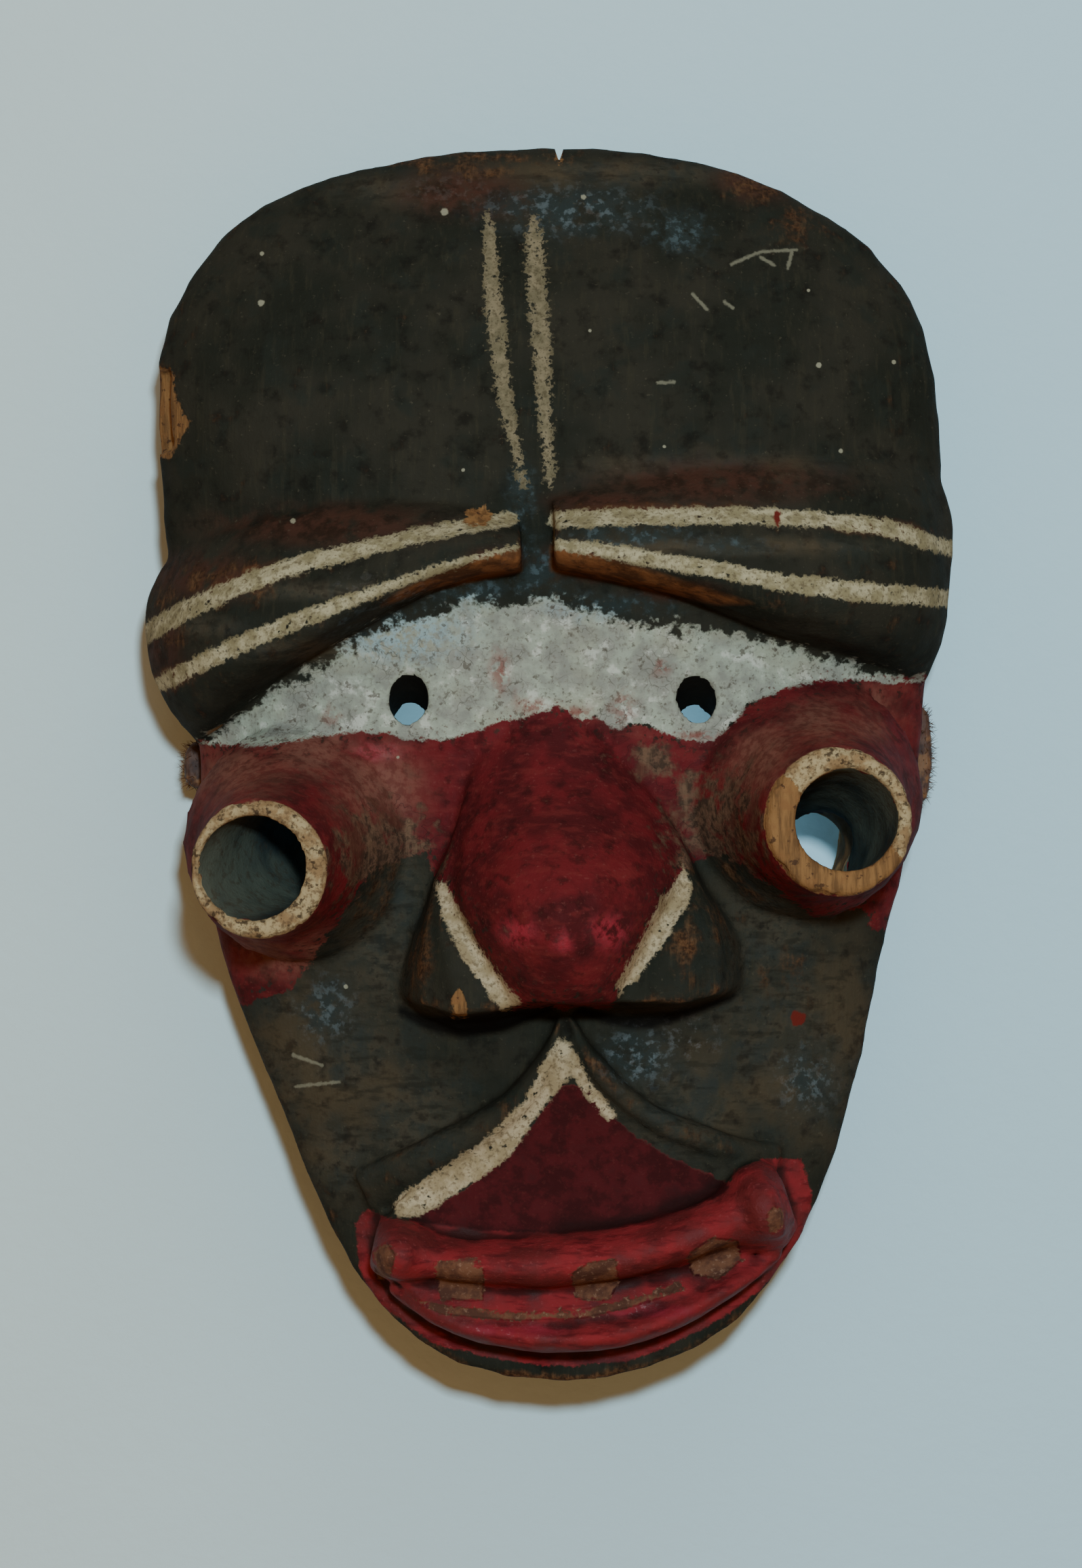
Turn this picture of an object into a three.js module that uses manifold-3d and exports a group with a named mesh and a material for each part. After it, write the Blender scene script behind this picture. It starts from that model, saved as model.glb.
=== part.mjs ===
// A carved wooden face mask with tube eyes, lying on the rim of its hollow back, with the
// remains of a hide strip in a slot at each side.
// Millimetres. X runs across the face, Y from the chin to the crown, Z out of the face.
// The rim lies on z = 0.
import * as THREE from "three";
import { mergeVertices } from "three/addons/utils/BufferGeometryUtils.js";
import Module from "manifold-3d";

const wasm = await Module();
wasm.setup();

// Overall sizes of the mask
const HEIGHT = 276;
const WIDTH = 176; // across the shell, without the ends of the brows
const DEPTH = 97; // from the rim to the tip of the nose

// Walls and rim
const SHELL_WALL = 10;
const EDGE_WALL = 13; // between the face's edge and the roof of the hollow
const RIM_WIDTH = 10;
const RIM_DRAW_IN = 4; // the sides close in by this much from the face to the rim

// Tube eyes: each leans outwards and is bored right through
const LEFT_TUBE = {
  bore: 11.5, wall: 3.7, boreShift: [-1.7, 0], lean: [-0.2, -0.13], boreLean: [-0.5, -0.2],
};
const RIGHT_TUBE = {
  bore: 11.2, wall: 5, boreShift: [1.7, 0.9], lean: [0.17, -0.13], boreLean: [0.21, 0.22],
};
const TUBE_STAND = 43; // length of a tube from its root to its rim
const TUBE_FLARE = 12; // how much wider the root is than the rim
const RIM_TURN = 0.35; // how far the rim follows the lean of the bore

// Sight holes
const LEFT_SIGHT = { place: [-0.354, 0.114], width: 8.4, height: 11 };
const RIGHT_SIGHT = { place: [0.374, 0.114], width: 9.3, height: 10.4 };
const SIGHT_DROP = 0.65; // each hole falls towards the chin by this much of its depth

// Carved lines
const STRIPE_WIDTH = 3.8;
const STRIPE_DEPTH = 1;
const CRACK_WIDTH = 1.2;
const CRACK_DEPTH = 3.8;
const CRACK_TIP = 0.2; // width of the crack at its bottom
const CHIP_WIDTH = 18;
const CHIP_DEPTH = 5.5;

// Mouldings of the upper lip, across their outer ends
const LEFT_MOULDING_WIDTH = 11;
const RIGHT_MOULDING_WIDTH = 8;

// A carved form starts this far under the face, and a cut starts this far clear of it
const SINK = 1;
const LIFT = 0.15;

// Hide strips and the slots that hold them
const HIDE_THICKNESS = 3.4;
const HIDE_CLEARANCE = 0.3;
const HIDE_LEVEL = 18; // height of the slots over the rim
const LEFT_HIDE = { length: 11, proud: 6, tongue: 7 };
const RIGHT_HIDE = { length: 23, proud: 5, tongue: 14 };
const HIDE_TAIL = 3; // how far the tongue reaches into the hollow
const HIDE_BULK = 9; // height of the curled end, measured like the slots

// Shares of the half width, the half height and the depth
const across = (share) => (share * WIDTH) / 2;
const along = (share) => (share * HEIGHT) / 2;
const deep = (share) => share * DEPTH;

const { lerp, clamp } = THREE.MathUtils;

// Outline of the shell seen from the front, clockwise from the crown
const OUTLINE = [
  [0, 1], [-0.3, 0.988], [-0.584, 0.947], [-0.775, 0.889], [-0.906, 0.793], [-0.977, 0.699],
  [-0.995, 0.526], [-0.984, 0.4], [-0.951, 0.193], [-0.899, 0.023], [-0.885, -0.183],
  [-0.803, -0.383], [-0.702, -0.535], [-0.588, -0.709], [-0.459, -0.858], [-0.296, -0.952],
  [-0.059, -1], [0.177, -0.993], [0.431, -0.929], [0.603, -0.813], [0.713, -0.674],
  [0.784, -0.529], [0.857, -0.315], [0.937, -0.106], [0.967, 0.096], [1, 0.36],
  [0.991, 0.589], [0.928, 0.747], [0.777, 0.859], [0.544, 0.945], [0.249, 0.994],
];

// Level of the shell's edge and of its middle, from the chin to the crown
const EDGE_LEVEL = [
  [-1, 0.53], [-0.8, 0.47], [-0.4, 0.38], [0, 0.33], [0.4, 0.4], [0.8, 0.37], [1, 0.35],
];
const MIDDLE_LEVEL = [
  [-1, 0.545], [-0.75, 0.585], [-0.45, 0.6], [-0.1, 0.6], [0.15, 0.615], [0.3, 0.64], [0.45, 0.69],
  [0.7, 0.69], [1, 0.6],
];
const DOME_SHOULDER = 2.2;
const DOME_FALL = 0.6;

// A smooth value through stops of [position, value], level past both ends
function through(stops, position) {
  const last = stops.length - 1;
  const at = clamp(position, stops[0][0], stops[last][0]);
  let i = 0;
  while (i < last - 1 && at > stops[i + 1][0]) i += 1;
  const slope = (k) => {
    const before = stops[Math.max(k - 1, 0)];
    const after = stops[Math.min(k + 1, last)];
    return (after[1] - before[1]) / (after[0] - before[0]);
  };
  const [start, from] = stops[i];
  const [end, to] = stops[i + 1];
  const span = end - start;
  const t = (at - start) / span;
  const ease = t * t * (3 - 2 * t);
  return (
    lerp(from, to, ease) + span * t * (1 - t) * ((1 - t) * slope(i) - t * slope(i + 1))
  );
}

// A smooth curve over the face through points given in shares
function faceCurve(points, closed = false) {
  const corners = points.map(([u, v]) => new THREE.Vector3(across(u), along(v), 0));
  return new THREE.CatmullRomCurve3(corners, closed, "centripetal");
}

// Moves a closed clockwise or counterclockwise ring inwards by a distance
function inset(ring, distance) {
  const count = ring.length;
  return ring.map((point, i) => {
    const before = ring[(i + count - 1) % count];
    const after = ring[(i + 1) % count];
    const inward = new THREE.Vector3(before.y - after.y, after.x - before.x, 0).normalize();
    if (inward.dot(point) > 0) inward.negate();
    return point.clone().addScaledVector(inward, distance);
  });
}

const OUTLINE_STEPS = 68;
const outline = faceCurve(OUTLINE, true).getSpacedPoints(OUTLINE_STEPS).slice(0, OUTLINE_STEPS);

// How far a point lies on the way from the middle of the face to its outline
function outlineShare(x, y) {
  const turn = (corner) => corner.x * y - corner.y * x;
  const i = outline.findIndex((a, k) => {
    const b = outline[(k + 1) % OUTLINE_STEPS];
    return turn(a) * turn(b) <= 0 && a.x * x + a.y * y > 0;
  });
  if (i < 0) return 0;
  const a = outline[i];
  const b = outline[(i + 1) % OUTLINE_STEPS];
  return (x * (b.y - a.y) - y * (b.x - a.x)) / (a.x * b.y - a.y * b.x);
}

// Height of the plain shell over the rim, before anything is carved on it
function faceLevel(x, y) {
  const v = y / along(1);
  const edge = deep(through(EDGE_LEVEL, v));
  const middle = deep(through(MIDDLE_LEVEL, v));
  const share = Math.min(1, outlineShare(x, y));
  return edge + (middle - edge) * (1 - share ** DOME_SHOULDER) ** DOME_FALL;
}

// A solid from shared corners and triangles, turned so that its faces point out
function solid(corners, triangles) {
  const volume = triangles.reduce((sum, [a, b, c]) => {
    const cross = new THREE.Vector3().crossVectors(corners[b], corners[c]);
    return sum + corners[a].dot(cross);
  }, 0);
  const turned = volume < 0 ? triangles.map(([a, b, c]) => [a, c, b]) : triangles;
  return new wasm.Manifold(
    new wasm.Mesh({
      numProp: 3,
      vertProperties: new Float32Array(corners.flatMap((p) => [p.x, p.y, p.z])),
      triVerts: new Uint32Array(turned.flat()),
    }),
  );
}

// A solid from a closed three.js geometry
function solidOf(geometry) {
  const bare = geometry.clone();
  bare.deleteAttribute("normal");
  bare.deleteAttribute("uv");
  const merged = mergeVertices(bare, 1e-4);
  return new wasm.Manifold(
    new wasm.Mesh({
      numProp: 3,
      vertProperties: new Float32Array(merged.attributes.position.array),
      triVerts: new Uint32Array(merged.index.array),
    }),
  );
}

// A solid skinned over closed rings of equally many points, capped at both ends
function loft(rings) {
  const count = rings[0].length;
  const corners = rings.flat();
  const triangles = [];
  for (let r = 0; r < rings.length - 1; r += 1) {
    for (let i = 0; i < count; i += 1) {
      const a = r * count + i;
      const b = r * count + ((i + 1) % count);
      triangles.push([a, b, b + count], [a, b + count, a + count]);
    }
  }
  const cap = (ring, start, flip) => {
    const middle = ring.reduce((sum, p) => sum.add(p), new THREE.Vector3()).divideScalar(count);
    corners.push(middle);
    for (let i = 0; i < count; i += 1) {
      const a = start + i;
      const b = start + ((i + 1) % count);
      triangles.push(flip ? [corners.length - 1, b, a] : [corners.length - 1, a, b]);
    }
  };
  cap(rings[0], 0, true);
  cap(rings[rings.length - 1], (rings.length - 1) * count, false);
  return solid(corners, triangles);
}

// A solid between a carved grid of points and the same grid at one level
function slab(grid, level) {
  const rows = grid.length;
  const columns = grid[0].length;
  const carved = grid.flat();
  const flat = carved.map((p) => new THREE.Vector3(p.x, p.y, level));
  const under = carved.length;
  const triangles = [];
  for (let r = 0; r < rows - 1; r += 1) {
    for (let c = 0; c < columns - 1; c += 1) {
      const a = r * columns + c;
      const b = a + 1;
      const d = a + columns;
      const e = d + 1;
      triangles.push([a, b, e], [a, e, d]);
      triangles.push([under + a, under + e, under + b], [under + a, under + d, under + e]);
    }
  }
  const wall = (a, b) => triangles.push([a, under + b, under + a], [a, b, under + b]);
  for (let c = 0; c < columns - 1; c += 1) {
    wall(c + 1, c);
    wall((rows - 1) * columns + c, (rows - 1) * columns + c + 1);
  }
  for (let r = 0; r < rows - 1; r += 1) {
    wall(r * columns, (r + 1) * columns);
    wall((r + 2) * columns - 1, (r + 1) * columns - 1);
  }
  return solid([...carved, ...flat], triangles);
}

// The grid of a band that follows a path over the face: columns run across it from -1 to 1
function band(path, rows, columns, halfWidth, level) {
  return Array.from({ length: rows + 1 }, (_, i) => {
    const s = i / rows;
    const middle = path.getPointAt(s);
    const tangent = path.getTangentAt(s);
    return columns.map((c) => {
      const reach = c * halfWidth(s);
      const x = middle.x - tangent.y * reach;
      const y = middle.y + tangent.x * reach;
      return new THREE.Vector3(x, y, level(s, c, faceLevel(x, y)));
    });
  });
}

// Level inside the wall at which every carved form has its root
const ROOT_LEVEL = deep(0.4);
const BROW_ROOT_LEVEL = deep(0.37);

// The shell as a solid dome with upright sides, grown outwards by a distance
function blank(grow = 0) {
  const rim = inset(outline, -grow);
  const rings = [];
  const frontRings = 12;
  for (let r = 1; r <= frontRings; r += 1) {
    const share = Math.sin((Math.PI / 2) * (r / frontRings)) ** 0.9;
    const ring = rim.map((p) => p.clone().multiplyScalar(share));
    rings.push(ring.map((p) => p.setZ(faceLevel(p.x, p.y))));
  }
  const sideRings = 3;
  const edge = rings[rings.length - 1];
  for (let r = 1; r <= sideRings; r += 1) {
    const drop = r / sideRings;
    const closer = inset(rim, RIM_DRAW_IN * drop ** 1.5);
    rings.push(closer.map((p, i) => new THREE.Vector3(p.x, p.y, edge[i].z * (1 - drop))));
  }
  return loft(rings);
}

// The hollow behind the face, open at the rim
function hollow() {
  const steps = 2;
  const mouth = inset(outline, RIM_DRAW_IN + RIM_WIDTH).filter((_, i) => i % steps === 0);
  const below = mouth.map((p) => new THREE.Vector3(p.x, p.y, -SHELL_WALL));
  const rings = [below];
  const backRings = 9;
  for (let r = backRings; r >= 1; r -= 1) {
    const share = Math.sin((Math.PI / 2) * (r / backRings));
    rings.push(
      mouth.map((p) => {
        const v = (p.y * share) / along(1);
        const wallTop = deep(through(EDGE_LEVEL, v)) - EDGE_WALL;
        const roof = deep(through(MIDDLE_LEVEL, v)) - SHELL_WALL;
        const rise = (1 - share ** DOME_SHOULDER) ** DOME_FALL;
        return new THREE.Vector3(p.x * share, p.y * share, wallTop + (roof - wallTop) * rise);
      }),
    );
  }
  return loft(rings);
}

// Brows: each lies between an upper and a lower line, from its inner end to its outer end
const LEFT_BROW = {
  upper: [
    [-0.073, 0.389], [-0.202, 0.411], [-0.411, 0.422], [-0.585, 0.416], [-0.758, 0.398],
    [-0.877, 0.376], [-0.958, 0.345],
  ],
  lower: [
    [-0.068, 0.301], [-0.213, 0.288], [-0.374, 0.246], [-0.551, 0.181], [-0.691, 0.128],
    [-0.808, 0.07], [-0.894, 0.027],
  ],
  outer: [
    [-0.958, 0.345], [-1.012, 0.297], [-1.033, 0.22], [-1.016, 0.148], [-0.96, 0.078], [-0.894, 0.027],
  ],
  stripes: [[[0, 0.2], [0.5, 0.375], [1, 0.38]], [[0, 0.52], [0.5, 0.72], [1, 0.68]]],
};
const RIGHT_BROW = {
  upper: [
    [0.01, 0.425], [0.236, 0.456], [0.452, 0.479], [0.666, 0.497], [0.809, 0.502], [0.918, 0.496],
    [0.995, 0.468],
  ],
  lower: [
    [0.015, 0.305], [0.165, 0.288], [0.309, 0.266], [0.454, 0.231], [0.561, 0.203], [0.669, 0.184],
    [0.812, 0.157], [0.962, 0.126],
  ],
  outer: [[0.995, 0.468], [1.022, 0.422], [1.034, 0.361], [1.029, 0.296], [1.01, 0.2], [0.962, 0.126]],
  stripes: [[[0, 0.32], [0.5, 0.335], [1, 0.3]], [[0, 0.6], [0.5, 0.7], [1, 0.6]]],
};
const BROW_CREST = [
  [0, 0.8], [0.06, 0.82], [0.35, 0.83], [0.65, 0.8], [0.85, 0.7], [0.95, 0.58], [1, 0.46],
];
const BROW_ROWS = 18;
const STRIPE_COLUMNS = [4, 8]; // columns of the grid that run down the middle of a stripe
const STRIPE_MOST = 0.13; // half a stripe's width is never more than this share of the brow
const UNDERSIDE_START = 0.06; // share of the brow between the second stripe and the underside

// A point between two lines and their ends: s runs along them, w from the first to the second
function patchPoint(first, second, end, s, w) {
  const start = new THREE.Vector3().lerpVectors(first.getPointAt(0), second.getPointAt(0), w);
  const point = new THREE.Vector3().lerpVectors(first.getPointAt(s), second.getPointAt(s), w);
  point.addScaledVector(start, 1 - s).addScaledVector(end.getPointAt(w), s);
  point.addScaledVector(first.getPointAt(0), -(1 - s) * (1 - w));
  point.addScaledVector(second.getPointAt(0), -(1 - s) * w);
  point.addScaledVector(first.getPointAt(1), -s * (1 - w));
  point.addScaledVector(second.getPointAt(1), -s * w);
  return point;
}

function brow({ upper, lower, outer, stripes }) {
  const top = faceCurve(upper);
  const bottom = faceCurve(lower);
  const end = faceCurve(outer);
  const grid = [];
  for (let i = 0; i <= BROW_ROWS; i += 1) {
    const even = i / BROW_ROWS;
    const s = (Math.sin((Math.PI / 2) * even) + even) / 2;
    const span = top.getPointAt(s).distanceTo(bottom.getPointAt(s));
    const half = Math.min(STRIPE_WIDTH / 2 / span, STRIPE_MOST);
    const [first, second] = stripes.map((stops) => through(stops, s));
    const crestEnd = second + half + UNDERSIDE_START;
    const shares = [
      0, 0.35 * (first - half), 0.7 * (first - half), first - half, first, first + half,
      (first + second) / 2, second - half, second, second + half, crestEnd,
      lerp(crestEnd, 1, 0.4), lerp(crestEnd, 1, 0.75), 1,
    ];
    const crest = deep(through(BROW_CREST, s));
    grid.push(
      shares.map((w, column) => {
        const point = patchPoint(top, bottom, end, s, w);
        const face = faceLevel(point.x, point.y) - SINK;
        const swell = Math.sin((Math.PI / 2) * Math.min(1, w / crestEnd)) ** 0.9;
        const under = Math.max(0, (w - crestEnd) / (1 - crestEnd));
        const fall = Math.sqrt(1 - under * under);
        const carved = STRIPE_COLUMNS.includes(column) ? STRIPE_DEPTH : 0;
        const floor = Math.min(face, crest);
        point.z = Math.max(floor + (crest - floor) * swell * fall - carved, ROOT_LEVEL);
        return point;
      }),
    );
  }
  return slab(grid, BROW_ROOT_LEVEL);
}

// Nose: lines down the face as stops of [place along the face, place across it]
const NOSE_TOP = 0.086;
const NOSE_LEFT = [
  [-0.38, -0.39], [-0.305, -0.365], [-0.202, -0.3], [-0.131, -0.252], [-0.071, -0.22],
  [-0.011, -0.19], [0.043, -0.12], [NOSE_TOP, -0.03],
];
const NOSE_RIGHT = [
  [-0.38, 0.51], [-0.278, 0.478], [-0.196, 0.4], [-0.115, 0.33], [-0.047, 0.25], [0.027, 0.15],
  [NOSE_TOP, 0.07],
];
const CREASE_LEFT = [
  [-0.382, -0.095], [-0.292, -0.184], [-0.21, -0.25], [-0.13, -0.235], [-0.038, -0.19],
  [0.043, -0.1], [NOSE_TOP, -0.015],
];
const CREASE_RIGHT = [
  [-0.375, 0.174], [-0.275, 0.259], [-0.189, 0.333], [-0.125, 0.31], [-0.047, 0.225],
  [0.027, 0.13], [NOSE_TOP, 0.055],
];
const NOSE_MIDDLE = [[-0.38, 0.035], [-0.22, 0.029], [-0.06, 0.022], [NOSE_TOP, 0.02]];
const NOSE_RIDGE = [
  [-0.385, 0.865], [-0.35, 0.93], [-0.29, 0.985], [-0.24, 1], [-0.18, 0.95], [-0.12, 0.86],
  [-0.05, 0.75], [0.02, 0.665], [NOSE_TOP, 0.605],
];
const CREASE_LEVEL = [
  [-0.385, 0.8], [-0.29, 0.765], [-0.2, 0.7], [-0.13, 0.66], [-0.04, 0.63], [NOSE_TOP, 0.6],
];
const WING_SWELL = [[-0.385, 0.02], [-0.28, 0.028], [-0.2, 0.01], [-0.1, 0]];
// Lower edge and foot of the nose, from the left wing to the right one
const NOSE_BOTTOM = [
  [-2, -0.373], [-1.4, -0.4], [-0.9, -0.385], [0, -0.38], [0.9, -0.38], [1.5, -0.38], [2, -0.354],
];
const NOSE_FOOT = [
  [-2, -0.392], [-1.4, -0.444], [-0.8, -0.425], [0, -0.398], [0.8, -0.412], [1.5, -0.412], [2, -0.374],
];
// Columns across the nose: -1 and 1 lie in the creases, -2 and 2 at the outer edges of the wings
const NOSE_COLUMNS = [
  -2, -1.75, -1.45, -1.15, -1, -0.85, -0.6, -0.35, 0, 0.35, 0.6, 0.85, 1, 1.15, 1.45, 1.75, 2,
];
const NOSE_ROWS = 17;
// Rows of the underside: how far each lies towards the foot, and how far down to the face
const NOSE_UNDERSIDE = [[0.12, 0.2], [0.45, 0.62], [1, 1]];

function nose() {
  const place = (column, v) => {
    const middle = through(NOSE_MIDDLE, v);
    const crease = through(column < 0 ? CREASE_LEFT : CREASE_RIGHT, v);
    const side = through(column < 0 ? NOSE_LEFT : NOSE_RIGHT, v);
    const out = Math.abs(column);
    return out <= 1 ? lerp(middle, crease, out) : lerp(crease, side, out - 1);
  };
  const level = (column, v, face) => {
    const out = Math.abs(column);
    const crease = Math.max(face, deep(through(CREASE_LEVEL, v)));
    if (out <= 1) {
      const ridge = deep(through(NOSE_RIDGE, v));
      return lerp(crease, Math.max(ridge, crease), Math.cos((Math.PI / 2) * out) ** 0.75);
    }
    const wing = out - 1;
    const swell = deep(through(WING_SWELL, v)) * Math.sin(Math.PI * wing);
    return lerp(face - SINK, crease, (1 - wing ** 2.4) ** 0.5) + swell;
  };
  const grid = [];
  for (let i = 0; i <= NOSE_ROWS; i += 1) {
    grid.push(
      NOSE_COLUMNS.map((column) => {
        const v = lerp(NOSE_TOP, through(NOSE_BOTTOM, column), i / NOSE_ROWS);
        const x = across(place(column, v));
        const y = along(v);
        return new THREE.Vector3(x, y, level(column, v, faceLevel(x, y)));
      }),
    );
  }
  const lowest = grid[grid.length - 1];
  for (const [forward, down] of NOSE_UNDERSIDE) {
    grid.push(
      NOSE_COLUMNS.map((column, i) => {
        const { x, y: edge, z } = lowest[i];
        const y = lerp(edge, along(through(NOSE_FOOT, column)), forward);
        const face = faceLevel(x, y) - SINK;
        return new THREE.Vector3(x, y, lerp(z, Math.min(face, z), down));
      }),
    );
  }
  return slab(grid, ROOT_LEVEL);
}

// Upper lip: two mouldings that meet under the nose, and the plane between them
const LEFT_MOULDING = [
  [0.036, -0.405], [0.0, -0.485], [-0.07, -0.552], [-0.17, -0.6], [-0.28, -0.64], [-0.39, -0.675],
  [-0.47, -0.7],
];
const RIGHT_MOULDING = [
  [0.046, -0.405], [0.11, -0.49], [0.2, -0.553], [0.335, -0.602], [0.475, -0.634], [0.585, -0.65],
];
// Widths along a moulding as shares of its width at the outer end
const LEFT_TAPER = [[0, 0.145], [0.25, 0.655], [0.6, 0.91], [1, 1]];
const RIGHT_TAPER = [[0, 0.2], [0.25, 0.75], [0.6, 0.9], [1, 1]];
// Columns across a moulding, from its outer to its inner edge, and how far each stands out
const MOULDING_PROFILE = [[-1, -0.012], [-0.75, 0.045], [-0.25, 0.075], [0.3, 0.08], [0.7, 0.07], [1, 0.045]];
const MOULDING_SWELL = [[0, 0.55], [0.2, 0.9], [0.75, 1], [1, 0.4]];
const MOULDING_ROWS = 12;
const LIP_PLANE_TOP = -0.45;
const LIP_PLANE_BOTTOM = -0.905;
const LIP_PLANE_LEFT = [
  [LIP_PLANE_BOTTOM, -0.22], [-0.86, -0.34], [-0.8, -0.4], [-0.725, -0.4], [-0.668, -0.29],
  [-0.622, -0.175], [-0.575, -0.075], [-0.5, 0.005], [LIP_PLANE_TOP, 0.03],
];
const LIP_PLANE_RIGHT = [
  [LIP_PLANE_BOTTOM, 0.24], [-0.86, 0.4], [-0.8, 0.5], [-0.725, 0.52], [-0.66, 0.5],
  [-0.622, 0.34], [-0.575, 0.205], [-0.5, 0.112], [LIP_PLANE_TOP, 0.054],
];
const LIP_PLANE_RISE = [
  [LIP_PLANE_BOTTOM, 0.18], [-0.86, 0.165], [-0.8, 0.12], [-0.65, 0.06], [LIP_PLANE_TOP, 0.05],
];

function moulding(points, side, width, taper) {
  const profile = side > 0 ? MOULDING_PROFILE : MOULDING_PROFILE.map(([c, out]) => [-c, out]).reverse();
  const rise = new Map(profile);
  const level = (s, c, face) => face + deep(rise.get(c)) * through(MOULDING_SWELL, s);
  const halfWidth = (s) => (width / 2) * through(taper, s);
  const columns = profile.map(([c]) => c);
  return slab(band(faceCurve(points), MOULDING_ROWS, columns, halfWidth, level), ROOT_LEVEL);
}

function lipPlane() {
  const rows = 14;
  const columns = 6;
  const grid = Array.from({ length: rows + 1 }, (_, i) => {
    const v = lerp(LIP_PLANE_TOP, LIP_PLANE_BOTTOM, i / rows);
    const left = through(LIP_PLANE_LEFT, v);
    const right = through(LIP_PLANE_RIGHT, v);
    return Array.from({ length: columns + 1 }, (_, j) => {
      const x = across(lerp(left, right, j / columns));
      const y = along(v);
      return new THREE.Vector3(x, y, faceLevel(x, y) + deep(through(LIP_PLANE_RISE, v)));
    });
  });
  return slab(grid, ROOT_LEVEL);
}

// Mouth: a bar with a knob at each end, and the lower lip under it
const BAR_PATH = [
  [-0.44, -0.775], [-0.3, -0.795], [-0.163, -0.804], [0.039, -0.801], [0.259, -0.779],
  [0.436, -0.739], [0.6, -0.7],
];
const BAR_HALF_HEIGHT = [
  [0, 0.045], [0.03, 0.055], [0.1, 0.055], [0.14, 0.043], [0.5, 0.05], [0.86, 0.052], [0.9, 0.075],
  [0.97, 0.08], [1, 0.06],
];
const BAR_LEVEL = [
  [0, 0.7], [0.03, 0.78], [0.09, 0.79], [0.13, 0.75], [0.2, 0.77], [0.5, 0.785], [0.82, 0.77],
  [0.88, 0.75], [0.93, 0.79], [0.98, 0.77], [1, 0.7],
];
const BAR_ROWS = 26;
const LOWER_LIP_PATH = [
  [-0.4, -0.845], [-0.3, -0.883], [-0.163, -0.91], [0.039, -0.922], [0.255, -0.9], [0.424, -0.852],
  [0.585, -0.79],
];
const LOWER_LIP_HALF_HEIGHT = [[0, 0.012], [0.15, 0.023], [0.5, 0.031], [0.85, 0.023], [1, 0.012]];
const LOWER_LIP_LEVEL = [[0, 0.62], [0.15, 0.7], [0.5, 0.75], [0.85, 0.7], [1, 0.62]];
const LOWER_LIP_ROWS = 16;
const ROUND_COLUMNS = [-1, -0.85, -0.55, -0.2, 0.2, 0.55, 0.85, 1];

function roundBand(points, rows, halfHeight, crest) {
  const level = (s, c, face) => {
    const top = deep(through(crest, s));
    return lerp(Math.min(face, top) - SINK, top, (1 - Math.abs(c) ** 2.3) ** 0.5);
  };
  const halfWidth = (s) => along(through(halfHeight, s));
  return slab(band(faceCurve(points), rows, ROUND_COLUMNS, halfWidth, level), ROOT_LEVEL);
}

// Tube eyes: rings along a leaning axis, with the rim turned a little back to the front
const LEFT_TUBE_RIM = new THREE.Vector3(across(-0.716), along(-0.17), deep(0.928));
const RIGHT_TUBE_RIM = new THREE.Vector3(across(0.716), along(-0.096), deep(0.928));
const TUBE_SIDES = 24;
// Rings from the root to the rim, and the share of the flare at each
const TUBE_SECTIONS = [[0, 1], [0.15, 0.8], [0.3, 0.52], [0.5, 0.27], [0.75, 0.1], [0.96, 0], [1, -0.05]];
// Rings of the bore, in lengths of the tube from its rim
const BORE_SECTIONS = [-1.4, -0.5, 0.15];

function circle(middle, axis, radius) {
  const turn = new THREE.Quaternion().setFromUnitVectors(new THREE.Vector3(0, 0, 1), axis);
  return Array.from({ length: TUBE_SIDES }, (_, i) => {
    const angle = (2 * Math.PI * i) / TUBE_SIDES;
    const spoke = new THREE.Vector3(Math.cos(angle), Math.sin(angle), 0).multiplyScalar(radius);
    return spoke.applyQuaternion(turn).add(middle);
  });
}

const leaning = ([x, y]) => new THREE.Vector3(x, y, 1).normalize();

function tube(rimMiddle, size) {
  const axis = leaning(size.lean);
  const rimAxis = new THREE.Vector3(0, 0, 1).lerp(leaning(size.boreLean), RIM_TURN).normalize();
  const rings = TUBE_SECTIONS.map(([share, flare]) => {
    const middle = rimMiddle.clone().addScaledVector(axis, (share - 1) * TUBE_STAND);
    const facing = new THREE.Vector3(0, 0, 1).lerp(rimAxis, share).normalize();
    return circle(middle, facing, size.bore + size.wall + TUBE_FLARE * flare);
  });
  return loft(rings);
}

function tubeBore(rimMiddle, size) {
  const axis = leaning(size.boreLean);
  const mouth = rimMiddle.clone().add(new THREE.Vector3(...size.boreShift, 0));
  const ends = BORE_SECTIONS.map((share) =>
    circle(mouth.clone().addScaledVector(axis, share * TUBE_STAND), axis, size.bore),
  );
  return loft(ends);
}

// Sight holes through the eye band, falling towards the chin as they go in
const SIGHT_LEVEL = 0.61; // level at which a hole's place is measured
const SIGHT_ENDS = [0.3, 0.8];
const SIGHT_SIDES = 16;

function sightHole({ place, width, height }) {
  const [u, v] = place;
  const rings = SIGHT_ENDS.map((share) => {
    const drop = (deep(SIGHT_LEVEL) - deep(share)) * SIGHT_DROP;
    return Array.from({ length: SIGHT_SIDES }, (_, i) => {
      const angle = (2 * Math.PI * i) / SIGHT_SIDES;
      const x = across(u) + (Math.cos(angle) * width) / 2;
      const y = along(v) + (Math.sin(angle) * height) / 2 - drop;
      return new THREE.Vector3(x, y, deep(share));
    });
  });
  return loft(rings);
}

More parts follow.
